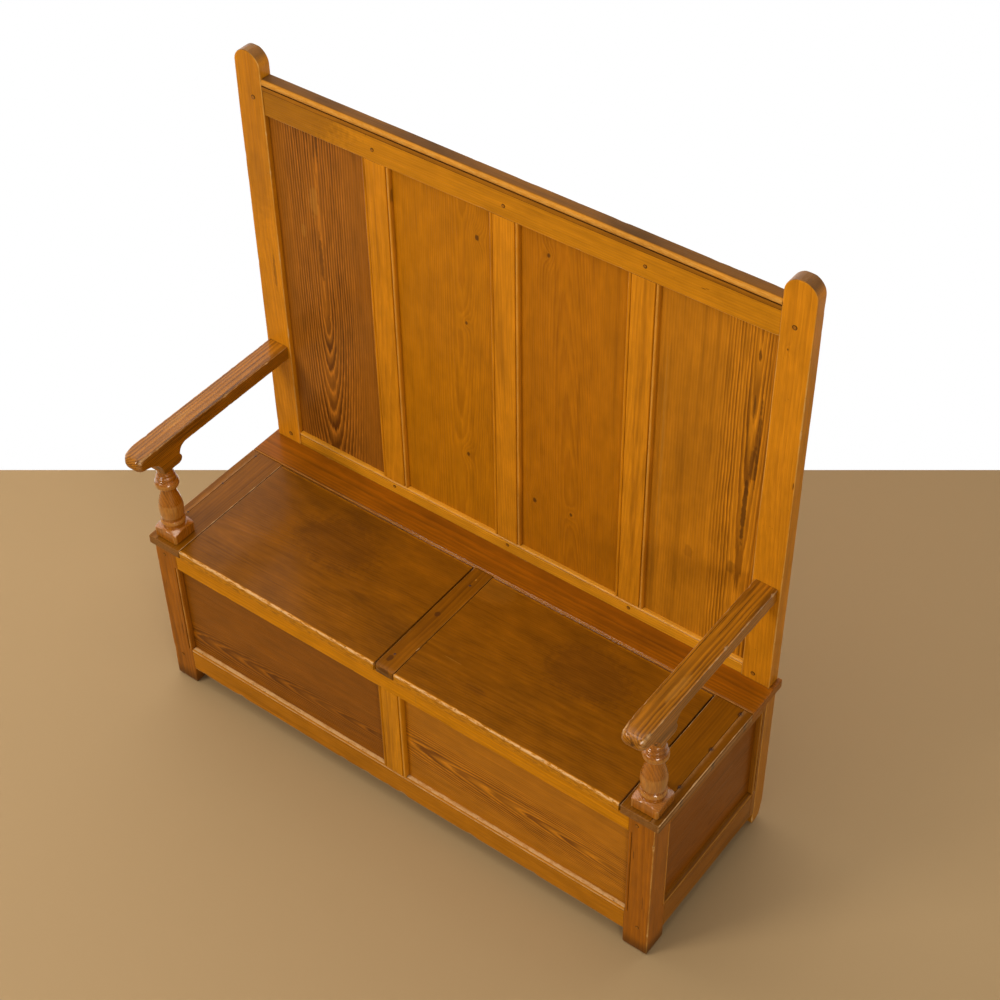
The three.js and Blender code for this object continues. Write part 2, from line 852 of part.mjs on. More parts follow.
// Lids: flush with the seat boards, rear edge rounded about the pins, two battens under each. The left lid has
// shrunk away from the centre board, and the right lid from its end board.
function lid(left, right) {
  const sweep = boardThickness - hingeRadius;
  const sweepEnd = -THREE.MathUtils.radToDeg(Math.acos(hingeRadius / sweep));
  const outline = [
    [-frontOverhang + lidLowerArris, seatUnderside],
    ...arc(hingeDepth, hingeHeight, sweep, -90, sweepEnd, 2),
    ...arc(hingeDepth, hingeHeight, hingeRadius, 0, 90, quarterSteps),
    ...arc(
      frontArrisRadius - frontOverhang,
      seatHeight - frontArrisRadius,
      frontArrisRadius,
      90,
      180,
      quarterSteps,
    ),
    [-frontOverhang, seatUnderside + lidLowerArris],
  ];
  return extrusion(outline, "x", left, right);
}
const lids = new THREE.Group();
settle.add(lids);
const lidPlaces = [
  ["left", -endBoardInner + lidGap, centreBoardLeft - lidOpenGap, -endPinX, leftCentrePinX],
  ["right", centreBoardRight + lidGap, endBoardInner - lidOpenGap, rightCentrePinX, endPinX],
];
for (const [side, left, right, leftPin, rightPin] of lidPlaces) {
  const board = lid(left, right).subtract(all([pinHole(leftPin), pinHole(rightPin)]));
  add(lids, "lid_" + side, board, seatBrown, 0.35);
  const battenPlaces = [left + battenInset, right - battenInset - battenWidth];
  battenPlaces.forEach((start, i) => {
    const batten = block(
      [start, battenSetback, seatUnderside - fit - battenThickness],
      [start + battenWidth, battenSetback + battenLength, seatUnderside - fit],
    );
    add(lids, "lid_" + side + "_batten_" + (i + 1), batten, shadeBrown, 0.7);
  });
}

// Arms: a flat rest with a rounded nose, and under it a shaped block over the support
function arm() {
  const nose = armThickness / 2;
  const stepStart = armBlockBack + armStepRadius - armBulgeRadius / 3;
  const outline = [
    [postFace - fit, armUnderside],
    [postFace - fit, armHeight],
    ...arc(nose - armReach, armHeight - nose, nose, 90, 270, 2 * quarterSteps),
    ...arc(
      armBlockFront - armCoveRadius,
      armUnderside - armCoveRadius,
      armCoveRadius,
      90,
      0,
      quarterSteps,
    ),
    [armBlockFront, armBlockUnderside],
    ...arc(
      armBlockBack - armBulgeRadius,
      armBlockUnderside + armBulgeRadius,
      armBulgeRadius,
      -90,
      45,
      quarterSteps,
    ),
    ...arc(
      stepStart,
      armUnderside - armStepRadius,
      armStepRadius,
      180,
      90,
      quarterSteps,
    ),
  ];
  const left = armCentre - armWidth / 2;
  const right = armCentre + armWidth / 2;
  const plan = [
    [right, postFace],
    [left, postFace],
    ...arc(left + armCornerRadius, armCornerRadius - armReach, armCornerRadius, 180, 270, quarterSteps),
    ...arc(right - armCornerRadius, armCornerRadius - armReach, armCornerRadius, 270, 360, quarterSteps),
  ];
  const tenon = block(
    [armCentre - armTenonWidth / 2, postFace - overrun, armUnderside + (armThickness - armTenonHeight) / 2],
    [
      armCentre + armTenonWidth / 2,
      postFace + tenonLength,
      armUnderside + (armThickness + armTenonHeight) / 2,
    ],
  );
  const socket = round(
    supportTenonRadius + fit,
    "z",
    [supportCentreX, supportCentreY, armBlockUnderside + supportTopTenon / 2],
    supportTopTenon + overrun,
  );
  return extrusion(outline, "x", left, right)
    .intersect(extrusion(plan, "z", armBlockUnderside - overrun, armHeight + overrun))
    .add(tenon)
    .subtract(socket);
}
const arms = new THREE.Group();
settle.add(arms);
addPair(arms, "arm", arm(), armBrown, 0.35);

// Turned supports: a square block on the seat, its shoulders turned away, then the stem
function armSupport() {
  const half = supportBlock / 2;
  const foot = seatHeight + fit;
  const centre = [supportCentreX, supportCentreY, foot];
  const squared = block(
    [supportCentreX - half, supportCentreY - half, foot],
    [supportCentreX + half, supportCentreY + half, foot + supportBlockHeight],
  );
  const shoulder = turned(
    [
      [0, 0],
      ...shoulderShares.map(([r, h]) => [r * supportFootRadius, h * supportBlockHeight]),
      [0, supportBlockHeight],
    ],
    centre,
  );
  const stemFoot = supportBlockHeight - fit;
  const stemRise = supportHeight;
  const stem = turned(
    [
      [0, stemFoot],
      ...stemShares.map(([r, h]) => [r * half, h * stemRise]),
      [0, stemRise],
    ],
    centre,
  );
  const tenonTop = foot + supportHeight + supportTopTenon - fit;
  const tenonFoot = seatHeight - supportTenonDepth;
  const tenon = round(
    supportTenonRadius,
    "z",
    [supportCentreX, supportCentreY, (tenonTop + tenonFoot) / 2],
    tenonTop - tenonFoot,
  );
  return squared.intersect(shoulder).add(stem).add(tenon);
}
addPair(arms, "arm_support", armSupport(), panelBrown, 0.35);

export default settle;
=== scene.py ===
# A pine box settle in old waxed pine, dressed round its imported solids.
# Metres, X to the right as seen from the front, Y to the back, Z up. Left and right are as seen from the front.
import math

import bmesh
import bpy
from mathutils import Matrix, Vector, noise


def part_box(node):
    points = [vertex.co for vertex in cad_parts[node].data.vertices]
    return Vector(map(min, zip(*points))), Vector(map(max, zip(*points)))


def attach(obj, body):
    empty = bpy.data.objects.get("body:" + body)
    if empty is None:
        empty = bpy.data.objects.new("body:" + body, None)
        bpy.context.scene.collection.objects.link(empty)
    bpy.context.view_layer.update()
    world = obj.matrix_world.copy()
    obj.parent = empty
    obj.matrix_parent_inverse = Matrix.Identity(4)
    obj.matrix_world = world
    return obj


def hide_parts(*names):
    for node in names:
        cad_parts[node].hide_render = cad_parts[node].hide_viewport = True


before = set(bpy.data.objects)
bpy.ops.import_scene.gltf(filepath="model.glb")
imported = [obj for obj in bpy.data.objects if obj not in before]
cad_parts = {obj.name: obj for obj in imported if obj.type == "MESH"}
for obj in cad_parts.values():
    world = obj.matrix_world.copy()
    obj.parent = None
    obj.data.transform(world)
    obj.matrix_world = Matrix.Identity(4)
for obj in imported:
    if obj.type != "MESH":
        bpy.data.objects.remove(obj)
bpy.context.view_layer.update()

# Back posts
# Two pine posts run from the floor to half-round tops. Each is planed from one length, with its arrises
# worn by hands and its heel cut away behind, and it is mortised for the rails and the arm.

ARRIS_STEPS = 4
STEP_ALONG_GRAIN = 0.009
BEAD = 0.0035
QUIRK = 0.0015
END_EASE = 0.0015
FLAT_AFTER = 0.004
FINE_BEAD = 0.0016
FINE_SETBACK = 0.0012
FINE_SLOPE = 0.0046
SIDE_QUIRK = 0.0008


def wobble(s, line, seed, pace):
    """A smooth value from about -1 to 1 that wanders along the grain."""
    return noise.noise(Vector((s * pace, line * 5.17, seed * 3.31)))


def worn_ease(ease, s, line, seed, chips):
    """How far an arris is worn back at a place along it, with chips where it was knocked."""
    gentle = 0.8 + 0.5 * wobble(s, line, seed, 9)
    knock = max(0.0, wobble(s, line, seed + 40, 38) - 0.32) * 3.2 * chips
    return ease * (gentle + knock), min(1.0, 0.35 + 0.5 * gentle + knock)


def rounding(here, before, after, ease, parts):
    """Points along the rounding of a corner, each with how far along it is."""
    points = []
    for k in range(parts + 1):
        u = k / parts
        p = here + before.normalized() * ease * (1 - u) ** 2 + after.normalized() * ease * u**2
        points.append((p.x, p.y, u))
    return points


def eased_corner(here, before, after, ease, worn):
    """A worn arris as a few points, each with how worn it is, with an unworn point on the flat at either side."""
    curve = rounding(here, before, after, ease, ARRIS_STEPS)
    points = [(a, b, worn * min(1.0, 4 * u * (1 - u) + 0.15)) for a, b, u in curve]
    first = here + before.normalized() * min(ease + FLAT_AFTER, 0.4 * before.length)
    last = here + after.normalized() * min(ease + FLAT_AFTER, 0.4 * after.length)
    return [(first.x, first.y, 0.0), *points, (last.x, last.y, 0.0)]


def beaded_corner(here, face, side, share, kind):
    """A bead with a quirk on either side of it, run on the face beside the corner. At share 0 it fades into a plain
    corner. Fine ones are small and stand back behind a sloped side, to clear a lid. Dull ones, on edges that face
    away from the light, get little pale wear, as painted shade on that side. Bright ones are rubbed bare on the
    ledge behind."""
    radius = FINE_BEAD if "fine" in kind else BEAD
    # Painted shade: dull beads keep their wood dark, with little pale wear.
    rubbed = 0.15 if "dull" in kind else 0.6
    ledge = 0.88 if "bright" in kind else 0.4 * rubbed
    back = FINE_SETBACK if "fine" in kind else 0.0
    slope = FINE_SLOPE if "fine" in kind else radius + 2.5 * SIDE_QUIRK
    points = []
    for out, deep in ((0.0, slope), (back + SIDE_QUIRK, radius + SIDE_QUIRK)):
        p = here + face * out * share + side * deep
        points.append((p.x, p.y, ledge * share))
    for k in range(7):
        turn = math.pi * (1 - k / 6)
        out = back + radius * (1 + math.cos(turn))
        deep = radius * (1 - math.sin(turn))
        if k < 3:
            out *= share
        else:
            deep *= share
        crown = math.sin(turn) ** 2
        p = here + face * out + side * deep
        points.append((p.x, p.y, rubbed * crown * share))
    p = here + face * (back + 2 * radius + QUIRK)
    points.append((p.x, p.y, 0.0))
    return points[::-1] if "off" in kind else points


def ring_of(corners, s, seed, chips):
    """The outline across a piece at one place along its grain. Eased corners have a worn arris, and edges are worn
    all over."""
    ring = []
    for i, (a, b, kind, size) in enumerate(corners):
        here = Vector((a, b))
        before = Vector(corners[i - 1][:2]) - here
        after = Vector(corners[(i + 1) % len(corners)][:2]) - here
        if kind == "ease":
            ease, worn = worn_ease(size, s, i, seed, chips)
            ring += eased_corner(here, before, after, ease, worn)
        elif "edge" in kind:
            ease, worn = worn_ease(size, s, i, seed, chips)
            worn = 1.0 if "bare" in kind else 0.65
            ring += [(x, y, worn) for x, y, u in rounding(here, before, after, ease, 2 * ARRIS_STEPS)]
        elif "bead" in kind:
            face, side = (before, after) if "off" in kind else (after, before)
            ring += beaded_corner(here, face.normalized(), side.normalized(), size, kind)
        else:
            ring.append((a, b, size))
    return ring


def shrunk(ring, by):
    """A ring drawn in all round, for the eased end of a piece."""
    a_low, a_high = min(p[0] for p in ring) + by, max(p[0] for p in ring) - by
    b_low, b_high = min(p[1] for p in ring) + by, max(p[1] for p in ring) - by
    return [(min(max(a, a_low), a_high), min(max(b, b_low), b_high), max(w, 0.25)) for a, b, w in ring]


def put_in_scene(name, data):
    thing = bpy.data.objects.new(name, data)
    bpy.context.scene.collection.objects.link(thing)
    return thing


def finish_mesh(name, points, faces, worn, smooth_under=38):
    """A closed mesh with its wear kept on its points, smooth except at its hard edges."""
    mesh = bpy.data.meshes.new(name)
    mesh.from_pydata(points, [], faces)
    mesh.validate()
    piece = put_in_scene(name, mesh)
    work = bmesh.new()
    work.from_mesh(mesh)
    bmesh.ops.recalc_face_normals(work, faces=work.faces)
    work.to_mesh(mesh)
    work.free()
    wear = mesh.attributes.new("worn", "FLOAT", "POINT")
    wear.data.foreach_set("value", worn)
    mesh.shade_smooth()
    mesh.set_sharp_from_angle(angle=math.radians(smooth_under))
    keep_flats = piece.modifiers.new("flats", "WEIGHTED_NORMAL")
    keep_flats.weight = 80
    keep_flats.keep_sharp = True
    return piece


def lofted(name, rings, smooth_under=38):
    """A closed mesh through rings of points, each point with its wear, and capped at both ends."""
    n = len(rings[0])
    faces = [list(range(n)), list(range((len(rings) - 1) * n, len(rings) * n))]
    for r in range(0, (len(rings) - 1) * n, n):
        for i in range(n):
            j = (i + 1) % n
            faces.append([r + i, r + j, r + n + j, r + n + i])
    points = [(x, y, z) for ring in rings for x, y, z, wear in ring]
    return finish_mesh(name, points, faces, [p[3] for ring in rings for p in ring], smooth_under)


def along_grain(name, grain, start, end, corners, seed, chips=1.0, end_ease=(END_EASE, END_EASE), stops=()):
    """A length of timber: its outline carried along the grain, worn as it goes, with both ends eased. The corners
    of the outline are a list, or a function of the place along the grain."""
    first, last = end_ease
    count = max(2, round((end - start) / STEP_ALONG_GRAIN))
    places = [start + first + (end - last - start - first) * i / count for i in range(count + 1)]
    places = sorted(places + [p for p in stops if start + first < p < end - last])
    rings = [(s, ring_of(corners(s) if callable(corners) else corners, s, seed, chips)) for s in places]
    head, tail = rings[0][1], rings[-1][1]
    rings = [(start, shrunk(head, first)), (start + 0.3 * first, shrunk(head, 0.3 * first))] + rings
    rings += [(end - 0.3 * last, shrunk(tail, 0.3 * last)), (end, shrunk(tail, last))]
    place = {
        "x": lambda a, b, s: (s, a, b), "y": lambda a, b, s: (a, s, b), "z": lambda a, b, s: (a, b, s),
    }[grain]
    return lofted(name, [[(*place(a, b, s), w) for a, b, w in ring] for s, ring in rings])


def square_section(low, high, *corners):
    """The four corners of a section, front left first and then round. Each is a kind of corner and its size, or just
    the size of its ease, and a single one stands for all."""
    (a0, b0), (a1, b1) = low, high
    kinds = [c if isinstance(c, tuple) else ("ease", c) for c in corners]
    places = ((a0, b0), (a1, b0), (a1, b1), (a0, b1))
    return [(*place, *kind) for place, kind in zip(places, kinds * (4 // len(kinds)))]


class Tree:
    """Short ways to add shader nodes and join them."""

    def __init__(self, tree):
        self.tree = tree

    def add(self, kind, *inputs, **settings):
        made = self.tree.nodes.new("ShaderNode" + kind)
        named = settings.pop("named", {})
        for key, value in settings.items():
            setattr(made, key, value)
        for key, value in [*enumerate(inputs), *named.items()]:
            if isinstance(value, bpy.types.NodeSocket):
                self.tree.links.new(value, made.inputs[key])
            elif value is not None:
                made.inputs[key].default_value = value
        return made

    def math(self, operation, *inputs, clamp=False):
        return self.add("Math", *inputs, operation=operation, use_clamp=clamp).outputs[0]

    def plus(self, *inputs, clamp=False):
        return self.math("ADD", *inputs, clamp=clamp)

    def less(self, *inputs):
        return self.math("SUBTRACT", *inputs)

    def times(self, *inputs, clamp=False):
        return self.math("MULTIPLY", *inputs, clamp=clamp)

    def vector(self, operation, *inputs):
        return self.add("VectorMath", *inputs, operation=operation).outputs[0]

    def noise(self, place, scale, detail=2.0, rough=0.5, colour=False):
        at = self.vector("MULTIPLY", place, scale) if isinstance(scale, tuple) else place
        size = 1.0 if isinstance(scale, tuple) else scale
        made = self.add("TexNoise", named={"Vector": at, "Scale": size, "Detail": detail, "Roughness": rough})
        return made.outputs[1 if colour else 0]

    def step(self, value, low, high, top=1.0):
        """Rises smoothly from 0 to the top as the value goes from low to high."""
        return self.add("MapRange", value, low, high, 0.0, top, interpolation_type="SMOOTHSTEP").outputs[0]

    def fade(self, value, low, high, top=1.0):
        """Falls smoothly from the top to 0 as the value goes from low to high."""
        return self.add("MapRange", value, low, high, top, 0.0, interpolation_type="SMOOTHSTEP").outputs[0]

    def blend(self, share, first, second, kind="MIX"):
        made = self.add("Mix", data_type="RGBA", blend_type=kind)
        for key, value in ((0, share), (6, first), (7, second)):
            if isinstance(value, bpy.types.NodeSocket):
                self.tree.links.new(value, made.inputs[key])
            else:
                made.inputs[key].default_value = value
        return made.outputs[2]


def pine_figure():
    """How rings, fibres and stains lie in a pine board. Place is across, into and along the board, and From pith
    is the same less the place of the tree's heart."""
    group = bpy.data.node_groups.new("pine figure", "ShaderNodeTree")
    for name, kind in (
        ("Place", "Vector"), ("From pith", "Vector"), ("Ring", "Float"), ("Waver", "Float"), ("Push", "Float")
    ):
        group.interface.new_socket(name, in_out="INPUT", socket_type="NodeSocket" + kind)
    for name in ("Late", "Fresh", "Fibre", "Streak", "Blotch"):
        group.interface.new_socket(name, in_out="OUTPUT", socket_type="NodeSocketFloat")
    t = Tree(group)
    place, off, ring, waver, push = group.nodes.new("NodeGroupInput").outputs[:5]
    warp = None
    for scale, share in (((3.5, 3.5, 0.8), 1.0), ((16.0, 16.0, 5.0), 0.18), ((70.0, 70.0, 22.0), 0.05)):
        bend = t.vector("SUBTRACT", t.noise(place, scale, 1.0, colour=True), (0.5, 0.5, 0.5))
        bend = t.add("VectorMath", bend, operation="SCALE")
        group.links.new(t.times(waver, share), bend.inputs[3])
        warp = bend.outputs[0] if warp is None else t.vector("ADD", warp, bend.outputs[0])
    moved = t.add("SeparateXYZ", t.vector("ADD", off, warp)).outputs
    radius = t.math("SQRT", t.plus(t.times(moved[0], moved[0]), t.times(moved[1], moved[1])))
    ragged = t.times(t.less(t.noise(place, (260.0, 260.0, 14.0), 2.0, 0.6), 0.5), 0.75)
    grown = t.plus(t.math("DIVIDE", t.plus(radius, push), ring), ragged)
    year = t.math("FRACT", grown)
    tone = t.add("TexWhiteNoise", named={"W": t.math("FLOOR", grown)}, noise_dimensions="1D").outputs[0]
    band = t.times(t.step(year, 0.34, 0.72), t.fade(year, 0.90, 0.97))
    fresh = t.times(t.step(year, 0.0, 0.06), t.fade(year, 0.12, 0.34))
    late = t.times(band, t.plus(0.4, t.times(tone, 0.6)))
    fibre = t.noise(place, (480.0, 480.0, 12.0), 2.0, 0.6)
    streak = t.noise(place, (60.0, 60.0, 1.8), 3.0, 0.6)
    blotch = t.noise(place, (7.0, 7.0, 3.5), 4.0, 0.6)
    out = group.nodes.new("NodeGroupOutput")
    for i, value in enumerate((late, fresh, fibre, streak, blotch)):
        group.links.new(value, out.inputs[i])
    return group


FIGURE = pine_figure()
WORN_GOLD = (0.58, 0.29, 0.060)
BARE_PINE = (0.62, 0.37, 0.155)
DUST = (0.070, 0.030, 0.008, 1)
WAX_TINT = (1.0, 0.72, 0.40, 1)
# A dark dirt colour for flecks and chips, also used as the colour of the painted shade in crevices.
GRIME_AND_SHADE = (0.018, 0.006, 0.0015, 1)


def new_material(name):
    """A material without nodes, and short ways to add them."""
    material = bpy.data.materials.new(name)
    material.use_nodes = True
    material.node_tree.nodes.clear()
    return material, Tree(material.node_tree)


def pine(
    name, grain, face, early, late, contrast=0.5, heart=(0.0, 0.0), depth=(0.10, 0.12), between=(0.0, 1.0),
    ring=0.0036, waver=0.012, zone=None, streaks=0.4, stain=0.3, grime=0.5, pale=0.6, worn_tone=WORN_GOLD,
    rough=0.36, coat=0.1, shine=0.15, mottle=0.12, crisp=1.35, dust=None, knots=(), marks=(), foot=None, seed=0.0,
):
    """Waxed pine for one piece. Face is an axis, the place of the face on it and the way into the wood. Heart and
    depth are where the tree's pith lies across the board and under its face, at two places along it. Zone is the
    middle and half width of the part with bold rings. Knots are (across, along, size), and marks (across, along,
    width, length, how dark). Foot is the height up to which a piece is darkened from the floor. Crisp is how light
    the line beside each ring is, and dust how dark upward faces are, and how far up they look where it starts."""
    material, t = new_material(name)
    axis, surface, inward = face
    where = t.add("TexCoord").outputs["Object"]
    axes = t.add("SeparateXYZ", where).outputs
    along, into = "xyz".index(grain), "xyz".index(axis)
    across = 3 - along - into
    place = t.add("CombineXYZ", axes[across], axes[into], axes[along]).outputs[0]
    seeded = t.vector("ADD", place, (seed * 1.7, seed * 2.3, seed * 3.1))
    flat = t.add("CombineXYZ", axes[across], 0.0, axes[along]).outputs[0]
    line = t.add("MapRange", axes[along], *between, *heart).outputs[0]
    under = t.add("MapRange", axes[along], *between, *depth).outputs[0]
    beside = t.less(axes[across], line)
    behind = t.less(under, t.times(t.less(axes[into], surface), inward))
    off = t.add("CombineXYZ", beside, behind, 0.0).outputs[0]
    push = 0.0
    core = None
    for u, v, size in knots:
        gap = t.vector("MULTIPLY", t.vector("SUBTRACT", flat, (u, 0, v)), (1.0, 1.0, 0.7))
        far = t.add("VectorMath", gap, operation="LENGTH").outputs[1]
        pull = t.math("DIVIDE", 1.0, t.plus(1.0, t.math("POWER", t.math("DIVIDE", far, size * 1.6), 2.0)))
        push = t.plus(t.times(pull, size * 1.5), push)
        ragged = t.plus(t.math("DIVIDE", far, size), t.times(t.noise(place, 160.0, 1.0), 0.35))
        heartwood = t.fade(ragged, 0.45, 0.75)
        core = heartwood if core is None else t.math("MAXIMUM", core, heartwood)
    figure = t.add("Group", node_tree=FIGURE, named={
        "Place": seeded, "From pith": off, "Ring": ring, "Waver": waver, "Push": push,
    })
    band, fresh, fibre, streak, blotch = figure.outputs
    strength = t.times(t.plus(0.6, t.step(blotch, 0.3, 0.7, 0.4)), contrast)
    if zone:
        reach = t.math("ABSOLUTE", t.less(t.less(axes[across], line), zone[0]))
        bold = t.fade(reach, zone[1] * 0.6, zone[1] * 1.2, 0.82)
        strength = t.times(strength, t.plus(0.18, bold))
    colour = t.blend(t.times(band, strength, clamp=True), (*early, 1), (*late, 1))
    dark = tuple(c * 0.5 for c in late)
    light = tuple(min(1.0, c * crisp) for c in early)
    colour = t.blend(t.times(fresh, t.times(strength, 0.75)), colour, (*light, 1))
    colour = t.blend(t.step(streak, 0.54, 0.70, streaks), colour, (*dark, 1))
    colour = t.blend(t.fade(streak, 0.22, 0.46, 0.4), colour, (*light, 1))
    colour = t.add("VectorMath", colour, operation="SCALE")
    patch = t.less(t.noise(seeded, (38.0, 38.0, 15.0), 2.0, 0.6), 0.5)
    level = t.plus(0.74, t.times(fibre, 0.52))
    level = t.times(level, t.plus(1.0, t.times(patch, 4 * mottle)))
    t.tree.links.new(level, colour.inputs[3])
    shaded = (*tuple(c * 0.45 for c in early), 1)
    colour = t.blend(t.step(blotch, 0.48, 0.78, stain), colour.outputs[0], shaded)
    if core is not None:
        colour = t.blend(t.times(core, 0.85), colour, (0.07, 0.020, 0.003, 1))
    for u, v, width, length, how_dark in marks:
        gap = t.vector("DIVIDE", t.vector("SUBTRACT", flat, (u, 0, v)), (width, 1.0, length))
        far = t.add("VectorMath", gap, operation="LENGTH").outputs[1]
        ragged = t.plus(far, t.times(t.less(t.noise(place, 90.0, 2.0), 0.5), 0.9))
        spot = t.fade(ragged, 0.55, 1.0, abs(how_dark))
        colour = t.blend(spot, colour, (0.06, 0.018, 0.003, 1) if how_dark > 0 else (0.40, 0.17, 0.02, 1))
    colour = t.blend(t.step(t.noise(place, 210.0, 2.0, 0.7), 0.70, 0.78, 0.5), colour, GRIME_AND_SHADE)
    worn = t.add("Attribute", attribute_name="worn").outputs["Fac"]
    grain_out = t.noise(seeded, (240.0, 240.0, 60.0), 3.0, 0.7)
    rubbed = t.times(t.step(worn, 0.1, 0.9), t.plus(0.5, t.step(grain_out, 0.35, 0.65)), clamp=True)
    colour = t.blend(t.times(rubbed, pale), colour, (*worn_tone, 1))
    bare = t.times(t.step(worn, 0.78, 0.97, 0.85), t.step(grain_out, 0.38, 0.58))
    colour = t.blend(bare, colour, (*BARE_PINE, 1))
    chip = t.times(t.step(worn, 0.65, 0.95), t.step(t.noise(seeded, 120.0, 3.0, 0.7), 0.60, 0.68))
    colour = t.blend(t.times(chip, 0.7), colour, GRIME_AND_SHADE)
    if dust:
        facing = t.add("SeparateXYZ", t.add("NewGeometry").outputs["Normal"]).outputs[2]
        settled = t.times(t.step(facing, *dust[1:]), t.plus(0.5, t.times(blotch, 0.9)))
        colour = t.blend(t.times(settled, dust[0], clamp=True), colour, DUST)
    # Painted shade: an ambient-occlusion mask darkens crevices and the joints between parts, and the darkening near
    # the floor is added to it.
    crevice = t.add("AmbientOcclusion", named={"Distance": 0.006}, samples=6).outputs["AO"]
    shade_and_foot_dark = t.fade(crevice, 0.15, 0.62, grime)
    if foot:
        shade_and_foot_dark = t.math("MAXIMUM", shade_and_foot_dark, t.fade(axes[2], 0.2 * foot, foot, 0.6))
    colour = t.blend(shade_and_foot_dark, colour, GRIME_AND_SHADE)
    dull = t.plus(rough - 0.06, t.times(fibre, 0.12))
    dull = t.plus(dull, t.step(blotch, 0.45, 0.75, 0.12))
    dull = t.plus(dull, t.times(rubbed, 0.15), clamp=True)
    height = t.plus(t.times(band, 0.5), t.times(fibre, 0.5))
    height = t.plus(height, t.times(t.noise(place, (30.0, 30.0, 9.0), 2.0), 2.2))
    height = t.less(height, t.times(chip, 1.5))
    bump = t.add("Bump", named={"Strength": 0.5, "Distance": 0.0006, "Height": height}).outputs[0]
    shade = t.add("BsdfPrincipled", named={
        "Base Color": colour, "Roughness": dull, "Normal": bump, "Specular IOR Level": shine,
        "Specular Tint": WAX_TINT, "Coat Weight": coat, "Coat Roughness": 0.14,
    })
    t.add("OutputMaterial", shade.outputs[0])
    return material


def paint(thing, material):
    thing.data.materials.clear()
    thing.data.materials.append(material)


def dress(piece, material, stands_for=(), body="frame"):
    """Gives a piece its finish, its body and the solid that it stands for."""
    paint(piece, material)
    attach(piece, body)
    if stands_for:
        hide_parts(*stands_for)


def timber(
    node, grain, start, end, corners, seed, face, early, late,
    name=None, slot="frame_pine", body="frame", cut=(), **looks
):
    """A piece cut along its grain and finished, in the place of its solid. Cut says how its ends and arrises are
    worked, and looks how its pine differs from the usual."""
    piece = along_grain(name or node + "_dressed", grain, start, end, corners, seed, **dict(cut))
    dress(piece, pine(node + " pine", grain, face, early, late, seed=seed, **looks), [node], body)


GOLD = (0.53, 0.185, 0.005)
GOLD_LATE = (0.31, 0.085, 0.003)
HEEL_HEIGHT = 0.052
HEEL_CUT = 0.008
TOE_HEIGHT = 0.009
TOE_CUT = 0.024
POST_EASE = 0.0028
POST_TAPER = 0.006


def post_section(low, high, z):
    """A post's outline at a height: thinner from the back as it rises, drawn in over the arch, and cut back at the
    heel."""
    radius = (high.x - low.x) / 2
    middle = (low.x + high.x) / 2
    rise = max(0.0, z - (high.z - radius))
    half = math.sqrt(max(radius**2 - rise**2, (0.03 * radius) ** 2))
    crown = max(0.0, z - (high.z - POST_EASE)) / POST_EASE
    draw = POST_EASE * (1 - math.sqrt(max(0.0, 1 - crown**2)))
    heel = 0.0
    if z < TOE_HEIGHT:
        heel = TOE_CUT + (HEEL_CUT - TOE_CUT) * z / TOE_HEIGHT
    elif z < HEEL_HEIGHT:
        heel = HEEL_CUT * (HEEL_HEIGHT - z) / (HEEL_HEIGHT - TOE_HEIGHT)
    back = high.y - heel - draw - POST_TAPER * z / high.z
    return square_section((middle - half, low.y + draw), (middle + half, back), min(POST_EASE, half * 0.6))


for side, seed, knots, marks in (
    ("left", 1.0, (), ((-0.585, 0.9, 0.004, 0.06, 0.5), (-0.60, 1.25, 0.06, 0.28, 0.16))),
    ("right", 2.0, ((0.586, 1.262, 0.0035),), ((0.627, 0.972, 0.0015, 0.01, 0.8), (0.635, 0.15, 0.03, 0.36, 0.3))),
):
    node = "back_post_" + side
    low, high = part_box(node)
    radius = (high.x - low.x) / 2
    arch = [high.z - radius + radius * math.sin(math.radians(a)) for a in range(0, 89, 4)]
    timber(
        node, "z", low.z, high.z, lambda z: post_section(low, high, z), seed, ("y", low.y, 1), GOLD, GOLD_LATE,
        name="post_" + side, contrast=0.28, heart=(low.x - 0.03, low.x - 0.015), depth=(0.10, 0.13), ring=0.0032,
        cut=dict(chips=0.7, end_ease=(0.003, 0.0004), stops=[TOE_HEIGHT, HEEL_HEIGHT, *arch]),
        knots=knots, marks=marks, stain=0.3, streaks=0.2, dust=(0.9, 0.2, 0.8), pale=0.75,
    )

# Top rail and crest moulding
# The top rail is tenoned between the posts, with its lower edge eased over the panels. A half-round moulding is
# planted on it from post to post, with a narrow fillet under it, and its flat top is dark with dust. A dark band
# painted along the fillet stands for the shadow that the nose casts on it.

RAIL_GOLD = (0.456, 0.167, 0.004)
RAIL_GOLD_LATE = (0.267, 0.077, 0.003)
FIT = 0.0003
CREST_LOW = 0.010
FRAME_FORWARD = 0.003
low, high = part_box("top_rail")
post_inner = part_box("back_post_right")[0].x
back_face = low.y - FRAME_FORWARD
rail_top = high.z - CREST_LOW
timber(
    "top_rail", "x", -post_inner + FIT, post_inner - FIT,
    square_section((back_face, low.z + 0.001), (high.y, rail_top), 0.0022, 0.001, 0.001, 0.001), 3.0,
    ("y", back_face, 1), RAIL_GOLD, RAIL_GOLD_LATE, contrast=0.28, heart=(1.40, 1.37), depth=(0.11, 0.13),
    ring=0.0034, stain=0.3, streaks=0.2, pale=0.9, marks=(
        (1.343, -0.52, 0.12, 0.20, 0.34), (1.311, 0.417, 0.0012, 0.006, 0.8), (1.313, 0.424, 0.0011, 0.005, 0.7),
        (1.307, -0.302, 0.002, 0.002, 0.8), (1.333, -0.314, 0.002, 0.002, 0.7),
    ),
)

